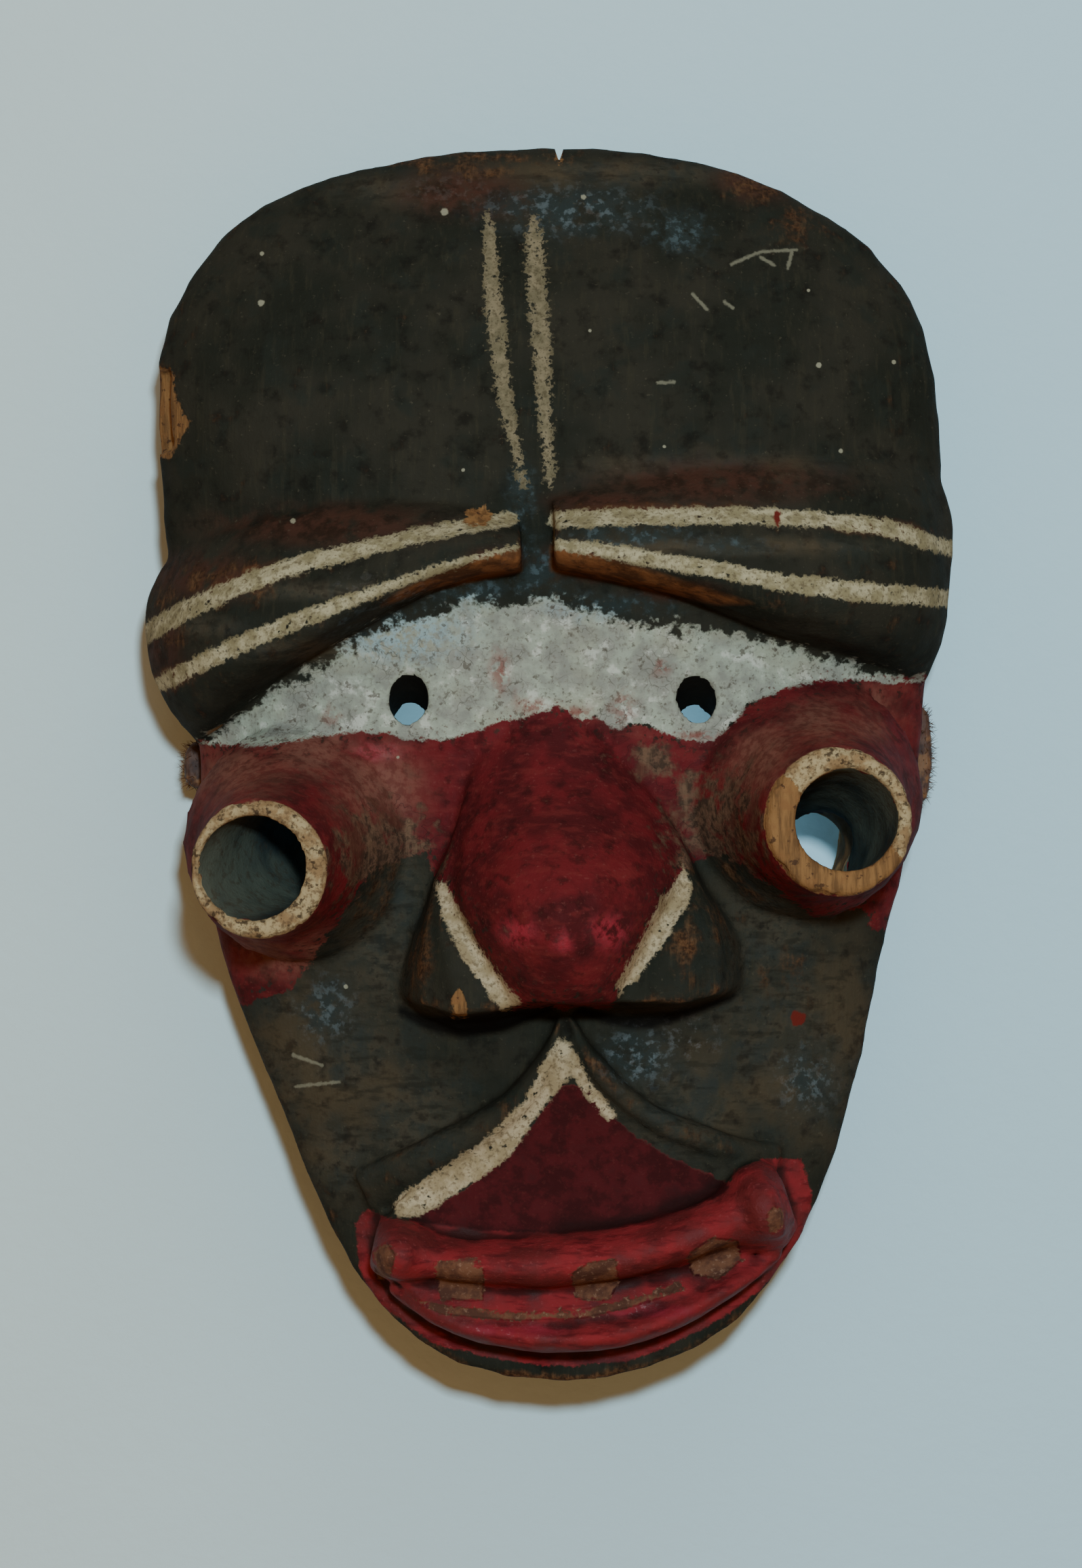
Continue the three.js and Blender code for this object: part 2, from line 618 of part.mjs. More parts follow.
// Two carved lines down the forehead
const LEFT_LINE = [
  [-0.151, 0.876], [-0.141, 0.784], [-0.126, 0.676], [-0.11, 0.589], [-0.092, 0.513], [-0.07, 0.435],
];
const RIGHT_LINE = [
  [-0.037, 0.873], [-0.034, 0.801], [-0.02, 0.697], [-0.01, 0.6], [-0.002, 0.513], [0.005, 0.443],
];
const LINE_TAPER = [[0, 0.35], [0.15, 1], [0.85, 0.9], [1, 0.35]];
const LINE_ROWS = 14;
const LINE_CUT_TOP = 0.8;

function carvedLine(points) {
  const halfWidth = (s) => (STRIPE_WIDTH / 2) * through(LINE_TAPER, s);
  const level = (s, c, face) => (c === 0 ? face - STRIPE_DEPTH : face + LIFT);
  return slab(band(faceCurve(points), LINE_ROWS, [-1, 0, 1], halfWidth, level), deep(LINE_CUT_TOP));
}

// A drying crack in the crown, and a chip broken off the edge of the forehead
const CRACK_PLACE = 0.029;
const CHIP_PLACE = [-0.985, 0.572];
const CHIP_SLOPE = Math.PI / 5; // of the broken face
const CHIP_TURN = 0.06; // along the outline
const CHIP_SHIFT = [-0.3, 0.55]; // outwards and upwards, as shares of its depth

function crack() {
  const wedge = new THREE.CylinderGeometry(CRACK_WIDTH / 2, CRACK_TIP / 2, 2 * CRACK_DEPTH, 4, 1);
  wedge.scale(1, 1, (2 * DEPTH) / CRACK_WIDTH);
  wedge.translate(across(CRACK_PLACE), along(1), deep(through(EDGE_LEVEL, 1)));
  return solidOf(wedge);
}

function chip() {
  const block = new THREE.BoxGeometry(2 * CHIP_DEPTH, CHIP_WIDTH, 2 * CHIP_DEPTH);
  block.rotateY(-CHIP_SLOPE);
  block.rotateZ(CHIP_TURN);
  const [u, v] = CHIP_PLACE;
  const [outwards, upwards] = CHIP_SHIFT;
  const level = deep(through(EDGE_LEVEL, v));
  block.translate(across(u) + outwards * CHIP_DEPTH, along(v), level + upwards * CHIP_DEPTH);
  return solidOf(block);
}

// Place of each hide strip on the outline, and the way out of the wall there
const LEFT_HIDE_PLACE = -0.004;
const RIGHT_HIDE_PLACE = 0.013;

function sideAt(v, side) {
  const nearest = outline
    .filter((p) => p.x * side > 0)
    .reduce((best, p) => (Math.abs(p.y - along(v)) < Math.abs(best.y - along(v)) ? p : best));
  return nearest.x;
}

function hideTongue(v, side, { tongue }, grow) {
  const outside = Math.abs(sideAt(v, side));
  const inside = outside - RIM_DRAW_IN - RIM_WIDTH - HIDE_TAIL;
  const size = [outside - inside, tongue + 2 * grow, HIDE_THICKNESS + 2 * grow];
  const bar = new THREE.BoxGeometry(...size);
  bar.translate((side * (outside + inside)) / 2, along(v), HIDE_LEVEL);
  return solidOf(bar);
}

// The curled end outside the wall: a lobed outline with rounded edges
const HIDE_LOBE = [[0.45, -0.46], [0.75, -0.12], [0.7, 0.25], [0.4, 0.47]]; // shares of proud and length
const HIDE_ROOT = 0.42; // the lobe leaves the wall this share of its length from its middle

function hideStrip(v, side, size) {
  const outside = Math.abs(sideAt(v, side));
  const root = (end) => new THREE.Vector2(outside - RIM_DRAW_IN, end * HIDE_ROOT * size.length);
  const lobe = HIDE_LOBE.map(
    ([out, away]) => new THREE.Vector2(outside + out * size.proud, away * size.length),
  );
  const shape = new THREE.Shape(new THREE.SplineCurve([root(-1), ...lobe, root(1)]).getPoints(10));
  const bevel = HIDE_THICKNESS / 4;
  const curl = new THREE.ExtrudeGeometry(shape, {
    depth: HIDE_BULK - 2 * bevel,
    bevelThickness: bevel,
    bevelSize: bevel,
    bevelOffset: -bevel,
    bevelSegments: 1,
  });
  curl.translate(0, along(v) * side, HIDE_LEVEL - HIDE_BULK / 2 + bevel);
  if (side < 0) curl.rotateZ(Math.PI);
  return solidOf(curl).subtract(blank(HIDE_CLEARANCE)).add(hideTongue(v, side, size, 0));
}

function mask() {
  const carved = [
    brow(LEFT_BROW),
    brow(RIGHT_BROW),
    nose(),
    moulding(LEFT_MOULDING, -1, LEFT_MOULDING_WIDTH, LEFT_TAPER),
    moulding(RIGHT_MOULDING, 1, RIGHT_MOULDING_WIDTH, RIGHT_TAPER),
    lipPlane(),
    roundBand(BAR_PATH, BAR_ROWS, BAR_HALF_HEIGHT, BAR_LEVEL),
    roundBand(LOWER_LIP_PATH, LOWER_LIP_ROWS, LOWER_LIP_HALF_HEIGHT, LOWER_LIP_LEVEL),
    tube(LEFT_TUBE_RIM, LEFT_TUBE),
    tube(RIGHT_TUBE_RIM, RIGHT_TUBE),
  ].reduce((whole, form) => whole.add(form), blank());
  return [
    hollow(),
    tubeBore(LEFT_TUBE_RIM, LEFT_TUBE),
    tubeBore(RIGHT_TUBE_RIM, RIGHT_TUBE),
    sightHole(LEFT_SIGHT),
    sightHole(RIGHT_SIGHT),
    carvedLine(LEFT_LINE),
    carvedLine(RIGHT_LINE),
    crack(),
    chip(),
    hideTongue(LEFT_HIDE_PLACE, -1, LEFT_HIDE, HIDE_CLEARANCE),
    hideTongue(RIGHT_HIDE_PLACE, 1, RIGHT_HIDE, HIDE_CLEARANCE),
  ].reduce((whole, cut) => whole.subtract(cut), carved);
}

// A named mesh with its own material from a finished solid
function part(name, form, finish) {
  const { numProp, vertProperties, triVerts } = form.getMesh();
  const positions = new Float32Array((vertProperties.length / numProp) * 3);
  for (let i = 0; i < positions.length / 3; i += 1) {
    positions.set(vertProperties.subarray(i * numProp, i * numProp + 3), i * 3);
  }
  const geometry = new THREE.BufferGeometry();
  geometry.setAttribute("position", new THREE.BufferAttribute(positions, 3));
  geometry.setIndex(new THREE.BufferAttribute(triVerts, 1));
  geometry.computeVertexNormals();
  const mesh = new THREE.Mesh(geometry, new THREE.MeshStandardMaterial(finish));
  mesh.name = name;
  return mesh;
}

const PAINTED_WOOD = { color: 0x26241f, roughness: 0.55, metalness: 0 };
const HIDE = { color: 0x6b3a20, roughness: 0.85, metalness: 0 };

const africanMask = new THREE.Group();
africanMask.add(part("mask", mask(), PAINTED_WOOD));
africanMask.add(part("left_hide_strip", hideStrip(LEFT_HIDE_PLACE, -1, LEFT_HIDE), HIDE));
africanMask.add(part("right_hide_strip", hideStrip(RIGHT_HIDE_PLACE, 1, RIGHT_HIDE), HIDE));

export default africanMask;
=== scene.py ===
import bmesh
import bpy
import numpy as np
from bpy.props import FloatProperty, FloatVectorProperty, IntProperty, PointerProperty
from mathutils import Matrix, Vector, noise


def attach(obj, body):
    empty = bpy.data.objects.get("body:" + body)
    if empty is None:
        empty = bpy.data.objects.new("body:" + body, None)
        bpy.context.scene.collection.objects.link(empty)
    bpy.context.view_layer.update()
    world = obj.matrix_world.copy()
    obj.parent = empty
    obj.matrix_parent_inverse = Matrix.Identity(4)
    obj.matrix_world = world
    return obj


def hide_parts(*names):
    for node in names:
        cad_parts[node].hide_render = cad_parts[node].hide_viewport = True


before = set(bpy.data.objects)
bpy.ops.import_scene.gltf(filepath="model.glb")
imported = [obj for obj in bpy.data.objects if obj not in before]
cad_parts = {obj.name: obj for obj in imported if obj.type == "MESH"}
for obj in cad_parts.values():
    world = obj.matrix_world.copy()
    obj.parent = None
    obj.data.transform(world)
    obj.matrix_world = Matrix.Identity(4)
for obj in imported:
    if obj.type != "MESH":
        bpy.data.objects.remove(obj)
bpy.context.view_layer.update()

bl_info = {
    "name": "Tube-eyed face mask",
    "version": (1, 0, 0),
    "blender": (4, 5, 0),
    "location": "View3D > Sidebar > Mask",
    "description": "Finishes a carved and painted wooden mask and its hide strips",
    "category": "Object",
}

MM = 0.001

# The photograph's frame, in pixels, and the place that it was taken from
FRAME_WIDTH = 1596
FRAME_HEIGHT = 2313
FOCAL_LENGTH = 7582.0
CAMERA_PLACE = Vector((-1.68, -4.9, 1200.0)) * MM

# Tube eyes in millimetres: middles of the rim and of the bore's mouth, their leans, bore radius and wall
LEFT_TUBE = {
    "rim": (-63.0, -23.5, 90.0), "rim_lean": (-0.17, -0.07),
    "mouth": (-64.7, -23.5, 90.0), "lean": (-0.5, -0.2),
    "bore": 11.5, "wall": 3.7,
}
RIGHT_TUBE = {
    "rim": (63.0, -13.2, 90.0), "rim_lean": (0.073, 0.077),
    "mouth": (64.7, -12.4, 90.0), "lean": (0.21, 0.22),
    "bore": 11.2, "wall": 5.0,
}

# Drying crack in the crown, in millimetres
CRACK = {"place": 2.5, "half_width": 0.8, "depth": 3.6}
# The crown's edge gets back what the smoothing takes, rising from a height on the face, in millimetres
CROWN = {"from": 40.0, "to": 100.0, "growth": 1.3}
# Walls that face inwards below this height belong to the hollow, in millimetres
HOLLOW_TOP = 45.0
# Paint on a tube in millimetres: how far the rim's paint and its bare wood reach down, how far past
# the wall they reach, how far past its radius the bore's paint reaches, and how deep it goes
RIM_PAINT = {"down": 1.7, "bare": 2.2, "past": 1.5, "bore": 2.4, "depth": 62.0}
# Sight holes: middle and reach in the photograph's pixels, and their lowest and highest part in millimetres
SIGHT_HOLES = [(602, 1031, 35), (1028, 1030, 33)]
SIGHT_HOLE_HEIGHTS = (25.0, 57.0)
# Rounds that smooth the facets away
SMOOTHING_ROUNDS = 30
# Part of a hide strip that carries hairs, from its end, in millimetres
HAIRY_END = 3.2
# Size of the photograph's pixel on the face, in millimetres
PIXEL = 0.15
# Wide mouth of the right bore towards the hollow, in millimetres: both ends of its middle line, its radius
RIGHT_MOUTH = {"start": (61.5, -16.2, 74.0), "end": (60.2, -20.0, 4.0), "radius": 7.2}

# Places of the paint, as outlines in the photograph's pixels, and as lines of (x, y, half width)
BAND_TOP = [
    (270, 1098), (335, 1058), (404, 1007), (486, 958), (535, 925), (555, 912), (610, 900), (661, 884),
    (686, 874), (747, 882), (781, 869), (812, 868), (856, 882), (948, 905), (999, 906), (1016, 919),
    (1075, 923), (1138, 936), (1201, 955), (1285, 980), (1400, 1000),
]
WHITE_BAND = BAND_TOP + [
    (1361, 1003), (1319, 1008), (1222, 1001), (1159, 1016), (1100, 1037), (1091, 1062), (1049, 1096),
    (990, 1087), (948, 1066), (910, 1075), (877, 1056), (860, 1066), (822, 1037), (812, 1049),
    (755, 1060), (706, 1076), (661, 1092), (592, 1088), (567, 1078), (527, 1080), (461, 1088),
    (404, 1098), (343, 1100),
]
RED_FACE = [
    (240, 1094), (343, 1090), (404, 1088), (527, 1070), (592, 1078), (706, 1066), (812, 1030), (860, 1050),
    (990, 1077), (1049, 1085), (1090, 1050), (1159, 1006), (1222, 991), (1319, 1000), (1420, 995),
    (1420, 1200), (1380, 1300), (1345, 1380), (1290, 1372), (1268, 1340), (1200, 1352), (1130, 1300),
    (1065, 1262), (1012, 1278), (960, 1380), (914, 1461), (900, 1486), (760, 1486), (745, 1470),
    (646, 1304), (628, 1258), (560, 1275), (505, 1350), (448, 1436), (425, 1462), (335, 1492), (285, 1440),
    (225, 1300), (240, 1180),
]
LEFT_CREASE = [
    (640, 1300), (655, 1300), (668, 1322), (700, 1385), (730, 1430), (768, 1478), (742, 1488),
    (715, 1462), (682, 1412), (652, 1350),
]
RIGHT_CREASE = [
    (1008, 1280), (1020, 1300), (1016, 1330), (985, 1385), (942, 1440), (912, 1470), (910, 1450),
    (935, 1405), (965, 1345),
]
LEFT_LIP_STRIPE = [
    (822, 1530), (842, 1540), (846, 1580), (827, 1600), (796, 1642), (754, 1703), (691, 1750), (623, 1792),
    (590, 1796), (576, 1769), (649, 1727), (722, 1675), (775, 1623), (802, 1568),
]
RIGHT_LIP_STRIPE = [(842, 1560), (862, 1598), (880, 1622), (900, 1645)]
LIPS = [
    [
        (836, 1596), (874, 1612), (926, 1668), (989, 1708), (1078, 1748), (1094, 1768), (963, 1830),
        (832, 1850), (712, 1840), (560, 1815), (620, 1792), (691, 1750), (754, 1703), (796, 1642),
    ],
    [
        (524, 1800), (540, 1782), (570, 1796), (640, 1805), (712, 1815), (832, 1820), (963, 1803),
        (1068, 1762), (1086, 1725), (1130, 1708), (1182, 1710), (1198, 1760), (1190, 1830),
        (1150, 1876), (1120, 1905), (1041, 1960), (937, 2005), (843, 2016), (733, 2006),
        (639, 1982), (590, 1945), (548, 1915), (530, 1870),
    ],
]
FOREHEAD_LINES = [
    [
        (720, 316, 5), (724, 360, 10), (725, 413, 12), (733, 490, 13), (741, 553, 12), (750, 616, 9),
        (767, 686, 7), (772, 716, 4),
    ],
    [
        (786, 318, 4), (789, 350, 13), (790, 413, 14), (798, 491, 14), (801, 553, 12), (804, 616, 10),
        (810, 686, 9), (812, 716, 5),
    ],
]
BROW_STRIPES = [
    [
        (752, 766, 11), (633, 786, 11), (527, 811, 12), (445, 831, 13), (363, 860, 13), (282, 896, 14),
        (215, 934, 14),
    ],
    [
        (763, 806, 3), (649, 837, 6), (555, 872, 8), (486, 898, 11), (404, 929, 12), (322, 966, 13),
        (235, 1010, 12),
    ],
    [
        (818, 767, 12), (906, 763, 12), (1033, 761, 12), (1138, 761, 12), (1222, 767, 12),
        (1306, 778, 12), (1410, 812, 11),
    ],
    [
        (820, 803, 8), (906, 814, 11), (990, 830, 12), (1075, 843, 12), (1159, 860, 12),
        (1243, 870, 14), (1410, 884, 13),
    ],
]
BARE_PATCHES = [
    [(228, 540), (252, 545), (262, 590), (283, 628), (262, 655), (250, 676), (228, 672)],
    [(682, 772), (690, 752), (715, 745), (728, 760), (712, 776)],
    [(666, 1500), (669, 1470), (678, 1455), (687, 1472), (692, 1502)],
    [(818, 205), (834, 205), (829, 240), (825, 250), (820, 240)],
]
FLAKED_PATCHES = [
    [(639, 1866), (676, 1858), (714, 1872), (712, 1921), (650, 1914)],
    [(843, 1880), (870, 1862), (908, 1858), (913, 1890), (900, 1916), (850, 1918)],
    [(1015, 1850), (1050, 1826), (1088, 1830), (1094, 1858), (1060, 1886), (1020, 1880)],
    [(550, 1845), (570, 1832), (582, 1850), (576, 1886), (556, 1890)],
    [(1130, 1795), (1142, 1779), (1158, 1785), (1154, 1812), (1136, 1822)],
    [(640, 1862), (700, 1856), (712, 1866), (650, 1874)],
    [
        (600, 1912), (650, 1926), (760, 1936), (860, 1932), (950, 1912), (1000, 1892), (1008, 1900),
        (955, 1922), (860, 1944), (760, 1948), (650, 1938),
    ],
]
# Brows' undersides, which lie in shade: painted light, a lighter warm brown that stands in for the warm light
# reaching them
BROW_UNDERSIDES_PAINTED_LIGHT = [
    [
        (812, 806), (860, 816), (960, 842), (1040, 868), (1110, 890), (1060, 892), (960, 870),
        (870, 850), (812, 842),
    ],
    [(768, 806), (768, 842), (700, 856), (620, 874), (560, 894), (600, 866), (680, 832)],
]
# Painted shadow under the nose's wings: outlines that get near-black paint where the nose's shadow falls
NOSE_WING_SHADOWS = [
    [
        (589, 1487), (628, 1500), (683, 1502), (739, 1491), (794, 1478), (817, 1483), (817, 1487),
        (789, 1502), (739, 1520), (683, 1530), (628, 1517), (594, 1498),
    ],
    [
        (856, 1483), (906, 1500), (972, 1498), (1039, 1483), (1083, 1467), (1078, 1472), (1017, 1500),
        (950, 1518), (894, 1509), (850, 1494),
    ],
]
DARK_RED_MARKS = [
    [(1141, 752), (1152, 753), (1151, 766), (1148, 777), (1142, 771)],
    [(1165, 1496), (1176, 1487), (1189, 1496), (1186, 1514), (1169, 1513)],
]
RIGHT_RIM_BARE = [
    (1105, 1142), (1150, 1138), (1172, 1152), (1200, 1200), (1240, 1215), (1300, 1235), (1330, 1262),
    (1352, 1262), (1345, 1300), (1300, 1345), (1200, 1345), (1120, 1290), (1100, 1215),
]
# Stored values of the paints that come straight from outlines and lines
OUTLINES = {
    "white": [WHITE_BAND],
    "red": [RED_FACE],
    "lips": LIPS,
    "flake": FLAKED_PATCHES,
    "mark": DARK_RED_MARKS,
    "nose_shadow": NOSE_WING_SHADOWS,
    "under": BROW_UNDERSIDES_PAINTED_LIGHT,
}
LINES = {"tan": BROW_STRIPES, "line": FOREHEAD_LINES}
# Soft places of wear, tint, painted highlight, painted sheen and gloss: middle, reach across, reach along
SOFT_PLACES = {
    "worn": [
        (700, 250, 120, 36), (640, 235, 300, 14), (1100, 272, 60, 46), (1180, 330, 50, 40),
        (570, 1265, 110, 120), (1050, 1215, 110, 120), (960, 1120, 60, 50), (620, 1400, 30, 80),
        (560, 1340, 60, 90), (1080, 1330, 60, 60), (1000, 1400, 40, 60), (810, 2035, 200, 14),
        (330, 860, 110, 40), (250, 900, 40, 70), (1070, 1270, 60, 90), (1150, 1430, 60, 50),
    ],
    # Painted highlights on the nose's tip and along the lower lip, where light glints; they also make the
    # paint glossier there
    "painted_highlight_and_gloss": [
        (762, 1376, 34, 26), (830, 1392, 18, 16), (900, 1374, 36, 30), (760, 1962, 90, 12),
        (960, 1935, 80, 12), (560, 1110, 50, 16),
    ],
    "stain": [
        (737, 990, 16, 40), (977, 984, 14, 14), (922, 1043, 22, 24), (784, 1040, 34, 12),
        (490, 1060, 14, 12), (1030, 1085, 40, 8), (850, 1050, 30, 10),
    ],
    # Reddish-brown: real wear on the brows' tops and the forehead, and painted light on the brows' shaded
    # undersides
    "ruddy_wear_and_painted_light": [
        (1060, 712, 220, 38), (900, 742, 110, 24), (480, 775, 210, 38),
        (300, 850, 110, 45), (680, 285, 110, 44), (240, 950, 40, 60), (850, 825, 60, 30),
        (730, 825, 50, 22), (1120, 265, 80, 40), (880, 838, 80, 26), (1000, 872, 80, 18),
    ],
    # Bluish-green: partly real tint, partly painted sheen and glints of the bluish light on the forehead's
    # top, the cheeks and the band
    "teal_tint_and_sheen": [
        (930, 790, 110, 20), (1080, 805, 60, 14), (790, 840, 60, 50), (690, 868, 80, 26),
        (840, 312, 150, 44), (1000, 340, 60, 36), (480, 1490, 50, 60), (940, 1560, 60, 50),
        (1190, 1590, 50, 60), (590, 935, 120, 50), (900, 895, 110, 20), (770, 730, 26, 60),
    ],
    "dusty": [
        (470, 1560, 190, 170), (1180, 1530, 200, 200), (600, 1640, 120, 110), (1010, 1620, 130, 110),
        (560, 1400, 90, 120), (1130, 1380, 110, 110), (1040, 690, 240, 26), (590, 1320, 60, 90),
        (1100, 806, 280, 16), (470, 872, 220, 16), (300, 925, 80, 20), (430, 960, 160, 20),
        (500, 1700, 80, 80), (900, 256, 260, 24), (620, 280, 160, 30),
    ],
    "browned": [
        (330, 1130, 120, 70), (470, 1110, 120, 50), (420, 1400, 110, 50), (1120, 1120, 70, 90),
        (980, 1060, 90, 36), (560, 1160, 90, 90), (1240, 1065, 120, 44), (1300, 1030, 70, 30),
    ],
    "sheen": [
        (840, 310, 150, 46), (660, 280, 80, 30), (480, 1490, 60, 60), (940, 1560, 70, 60),
        (1020, 1530, 60, 50), (1190, 1600, 60, 60), (560, 870, 90, 30),
    ],
    "fringe": [
        (960, 740, 170, 26), (330, 845, 120, 30), (250, 1000, 60, 30), (1300, 780, 90, 16),
    ],
}
# Forms without sharp edges, given as soft places: round the nose, on the cheeks and by the bar's ends
SOFT_FORMS = [
    (660, 1150, 110, 120), (960, 1130, 120, 110), (560, 1330, 80, 110), (1110, 1330, 70, 90),
    (830, 1120, 130, 90), (480, 1500, 120, 60), (1180, 1480, 110, 60), (1113, 1847, 36, 30),
    (535, 1735, 50, 50), (1180, 1695, 50, 40),
]
# Small pit beside the bar's right knob, smoothed away
PIT = (1113, 1848, 34, 30)
# Splashes of white: middle and reach
WHITE_SPECKS = [
    (656, 306, 7), (379, 374, 4), (392, 459, 6), (437, 765, 5), (686, 692, 3), (864, 280, 5),
    (1194, 419, 3), (1219, 536, 5), (1318, 538, 4), (1244, 660, 4), (975, 657, 3), (516, 1452, 4),
    (580, 1118, 3), (864, 492, 3),
]
# Straight scratches, from one end to the other
PALE_SCRATCHES = [
    (1079, 386, 1114, 380), (1114, 380, 1180, 365), (1124, 384, 1138, 400), (1169, 367, 1166, 390),
    (1025, 433, 1037, 456), (1068, 437, 1087, 448), (974, 561, 998, 557), (430, 1560, 470, 1575),
    (440, 1600, 500, 1596),
]


# Values on a surface

class Surface:
    """The points of a mesh with their normals and neighbours"""

    def __init__(self, mesh):
        self.mesh = mesh
        self.size = len(mesh.vertices)
        self.points = self.read(mesh.vertices, "co", 3)
        self.normals = self.read(mesh.vertex_normals, "vector", 3)
        edges = np.empty(len(mesh.edges) * 2, dtype=np.int32)
        mesh.edges.foreach_get("vertices", edges)
        self.first, self.second = edges.reshape(-1, 2).T
        self.neighbours = np.bincount(np.concatenate([self.first, self.second]), minlength=self.size)

    @staticmethod
    def read(items, name, width):
        values = np.empty(len(items) * width, dtype=np.float32)
        items.foreach_get(name, values)
        return values.reshape(-1, width).astype(np.float64)

    def around(self, values):
        """Mean of the neighbours' values"""
        columns = []
        for column in values.T:
            total = np.bincount(self.first, column[self.second], self.size)
            total += np.bincount(self.second, column[self.first], self.size)
            columns.append(total / self.neighbours)
        return np.stack(columns, axis=1)

    def spread(self, values, steps, share=0.6):
        """Values smoothed over the surface; share may differ from point to point"""
        values = values.reshape(self.size, -1)
        for _ in range(steps):
            values = values + share * (self.around(values) - values)
        return values

    def place(self, points):
        self.points = points
        self.mesh.vertices.foreach_set("co", points.astype(np.float32).ravel())
        self.mesh.update()
        self.normals = self.read(self.mesh.vertex_normals, "vector", 3)

    def push(self, distance):
        """Moves each point along its normal"""
        self.place(self.points + self.normals * distance[:, None])

    def keep(self, name, values):
        """Stores one number for each point for the material"""
        layer = self.mesh.attributes.new(name, "FLOAT", "POINT")
        layer.data.foreach_set("value", values.astype(np.float32).ravel())


def rise(values, low, high):
    """0 under low, 1 over high, and smooth between them"""
    share = np.clip((values - low) / (high - low), 0, 1)
    return share * share * (3 - 2 * share)


def lumps(points, size, seed, octaves=2):
    """Smooth noise from about -1 to 1, with lumps of the given size in millimetres"""
    places = (points / (np.asarray(size) * MM) + seed * 7.31).tolist()
    return np.array([noise.fractal(p, 0.9, 2.1, octaves) for p in places])


def scoops(points, size, seed):
    """Tool marks of the given size in millimetres: 0 in the middle of each scoop, 1 between scoops"""
    places = (points / (np.asarray(size) * MM) + seed * 5.17).tolist()
    nearest = np.array([noise.voronoi(p)[0][0] for p in places])
    return np.clip(nearest / 0.75, 0, 1) ** 2


# Places in the photograph's frame

def seen_at(points):
    """Pixels at which points are seen, and millimetres for a pixel there"""
    depth = CAMERA_PLACE.z - points[:, 2]
    x = FRAME_WIDTH / 2 + (points[:, 0] - CAMERA_PLACE.x) * FOCAL_LENGTH / depth
    y = FRAME_HEIGHT / 2 - (points[:, 1] - CAMERA_PLACE.y) * FOCAL_LENGTH / depth
    return np.stack([x, y], axis=1), depth / FOCAL_LENGTH / MM


def to_segment(pixels, start, end):
    """Distance of pixels to a segment, and the share of the way along it"""
    start = np.asarray(start, dtype=float)
    way = np.asarray(end, dtype=float) - start
    share = np.clip(((pixels - start) @ way) / (way @ way), 0, 1)
    return np.linalg.norm(pixels - start - share[:, None] * way, axis=1), share


def in_outline(pixels, outline):
    """Signed distance to an outline in pixels, positive inside"""
    nearest = np.full(len(pixels), 1e9)
    inside = np.zeros(len(pixels), dtype=bool)
    for start, end in zip(outline, outline[1:] + outline[:1]):
        nearest = np.minimum(nearest, to_segment(pixels, start, end)[0])
        (ax, ay), (bx, by) = start, end
        if ay != by:
            crossing = (ay > pixels[:, 1]) != (by > pixels[:, 1])
            left = pixels[:, 0] < (bx - ax) * (pixels[:, 1] - ay) / (by - ay) + ax
            inside ^= crossing & left
    return np.where(inside, nearest, -nearest)


def on_line(pixels, stops):
    """How far pixels lie inside a line with stops of (x, y, half width)"""
    best = np.full(len(pixels), -1e9)
    for (ax, ay, a), (bx, by, b) in zip(stops, stops[1:]):
        distance, share = to_segment(pixels, (ax, ay), (bx, by))
        best = np.maximum(best, a + (b - a) * share - distance)
    return best


def in_soft_spots(pixels, spots):
    """1 in the middle of soft oval spots, falling to 0 at their edge"""
    best = np.zeros(len(pixels))
    for x, y, across, along in spots:
        away = np.hypot((pixels[:, 0] - x) / across, (pixels[:, 1] - y) / along)
        best = np.maximum(best, 1 - rise(away, 0.2, 1.25))
    return best


# Nodes of a material

def light_of(code):
    """Linear colour of a six-figure colour code"""
    values = [int(code[i : i + 2], 16) / 255 for i in (1, 3, 5)]
    return tuple(v / 12.92 if v <= 0.04045 else ((v + 0.055) / 1.055) ** 2.4 for v in values) + (1.0,)


# Noises that the paints share: spots in millimetres, detail, stretch, seed, roughness
NOISES = {
    "large": (22.0, 3.0, None, 1.0, 0.55),
    "patch": (10.0, 3.0, None, 2.0, 0.6),
    "middle": (4.5, 4.0, None, 3.0, 0.6),
    "grit": (2.0, 4.0, None, 4.0, 0.6),
    "small": (1.0, 4.0, None, 5.0, 0.6),
    "grain": (1.6, 4.0, (1.0, 0.1, 0.6), 6.0, 0.65),
    "brushed": (3.0, 3.0, (0.4, 1.5, 1.0), 7.0, 0.55),
}


def add_node(tree, kind, inputs, **settings):
    """A node with its settings; each input is a value or another node's output"""
    made = tree.nodes.new(kind)
    for name, value in settings.items():
        setattr(made, name, value)
    for key, value in inputs.items():
        if isinstance(value, bpy.types.NodeSocket):
            tree.links.new(value, made.inputs[key])
        else:
            made.inputs[key].default_value = value
    return made


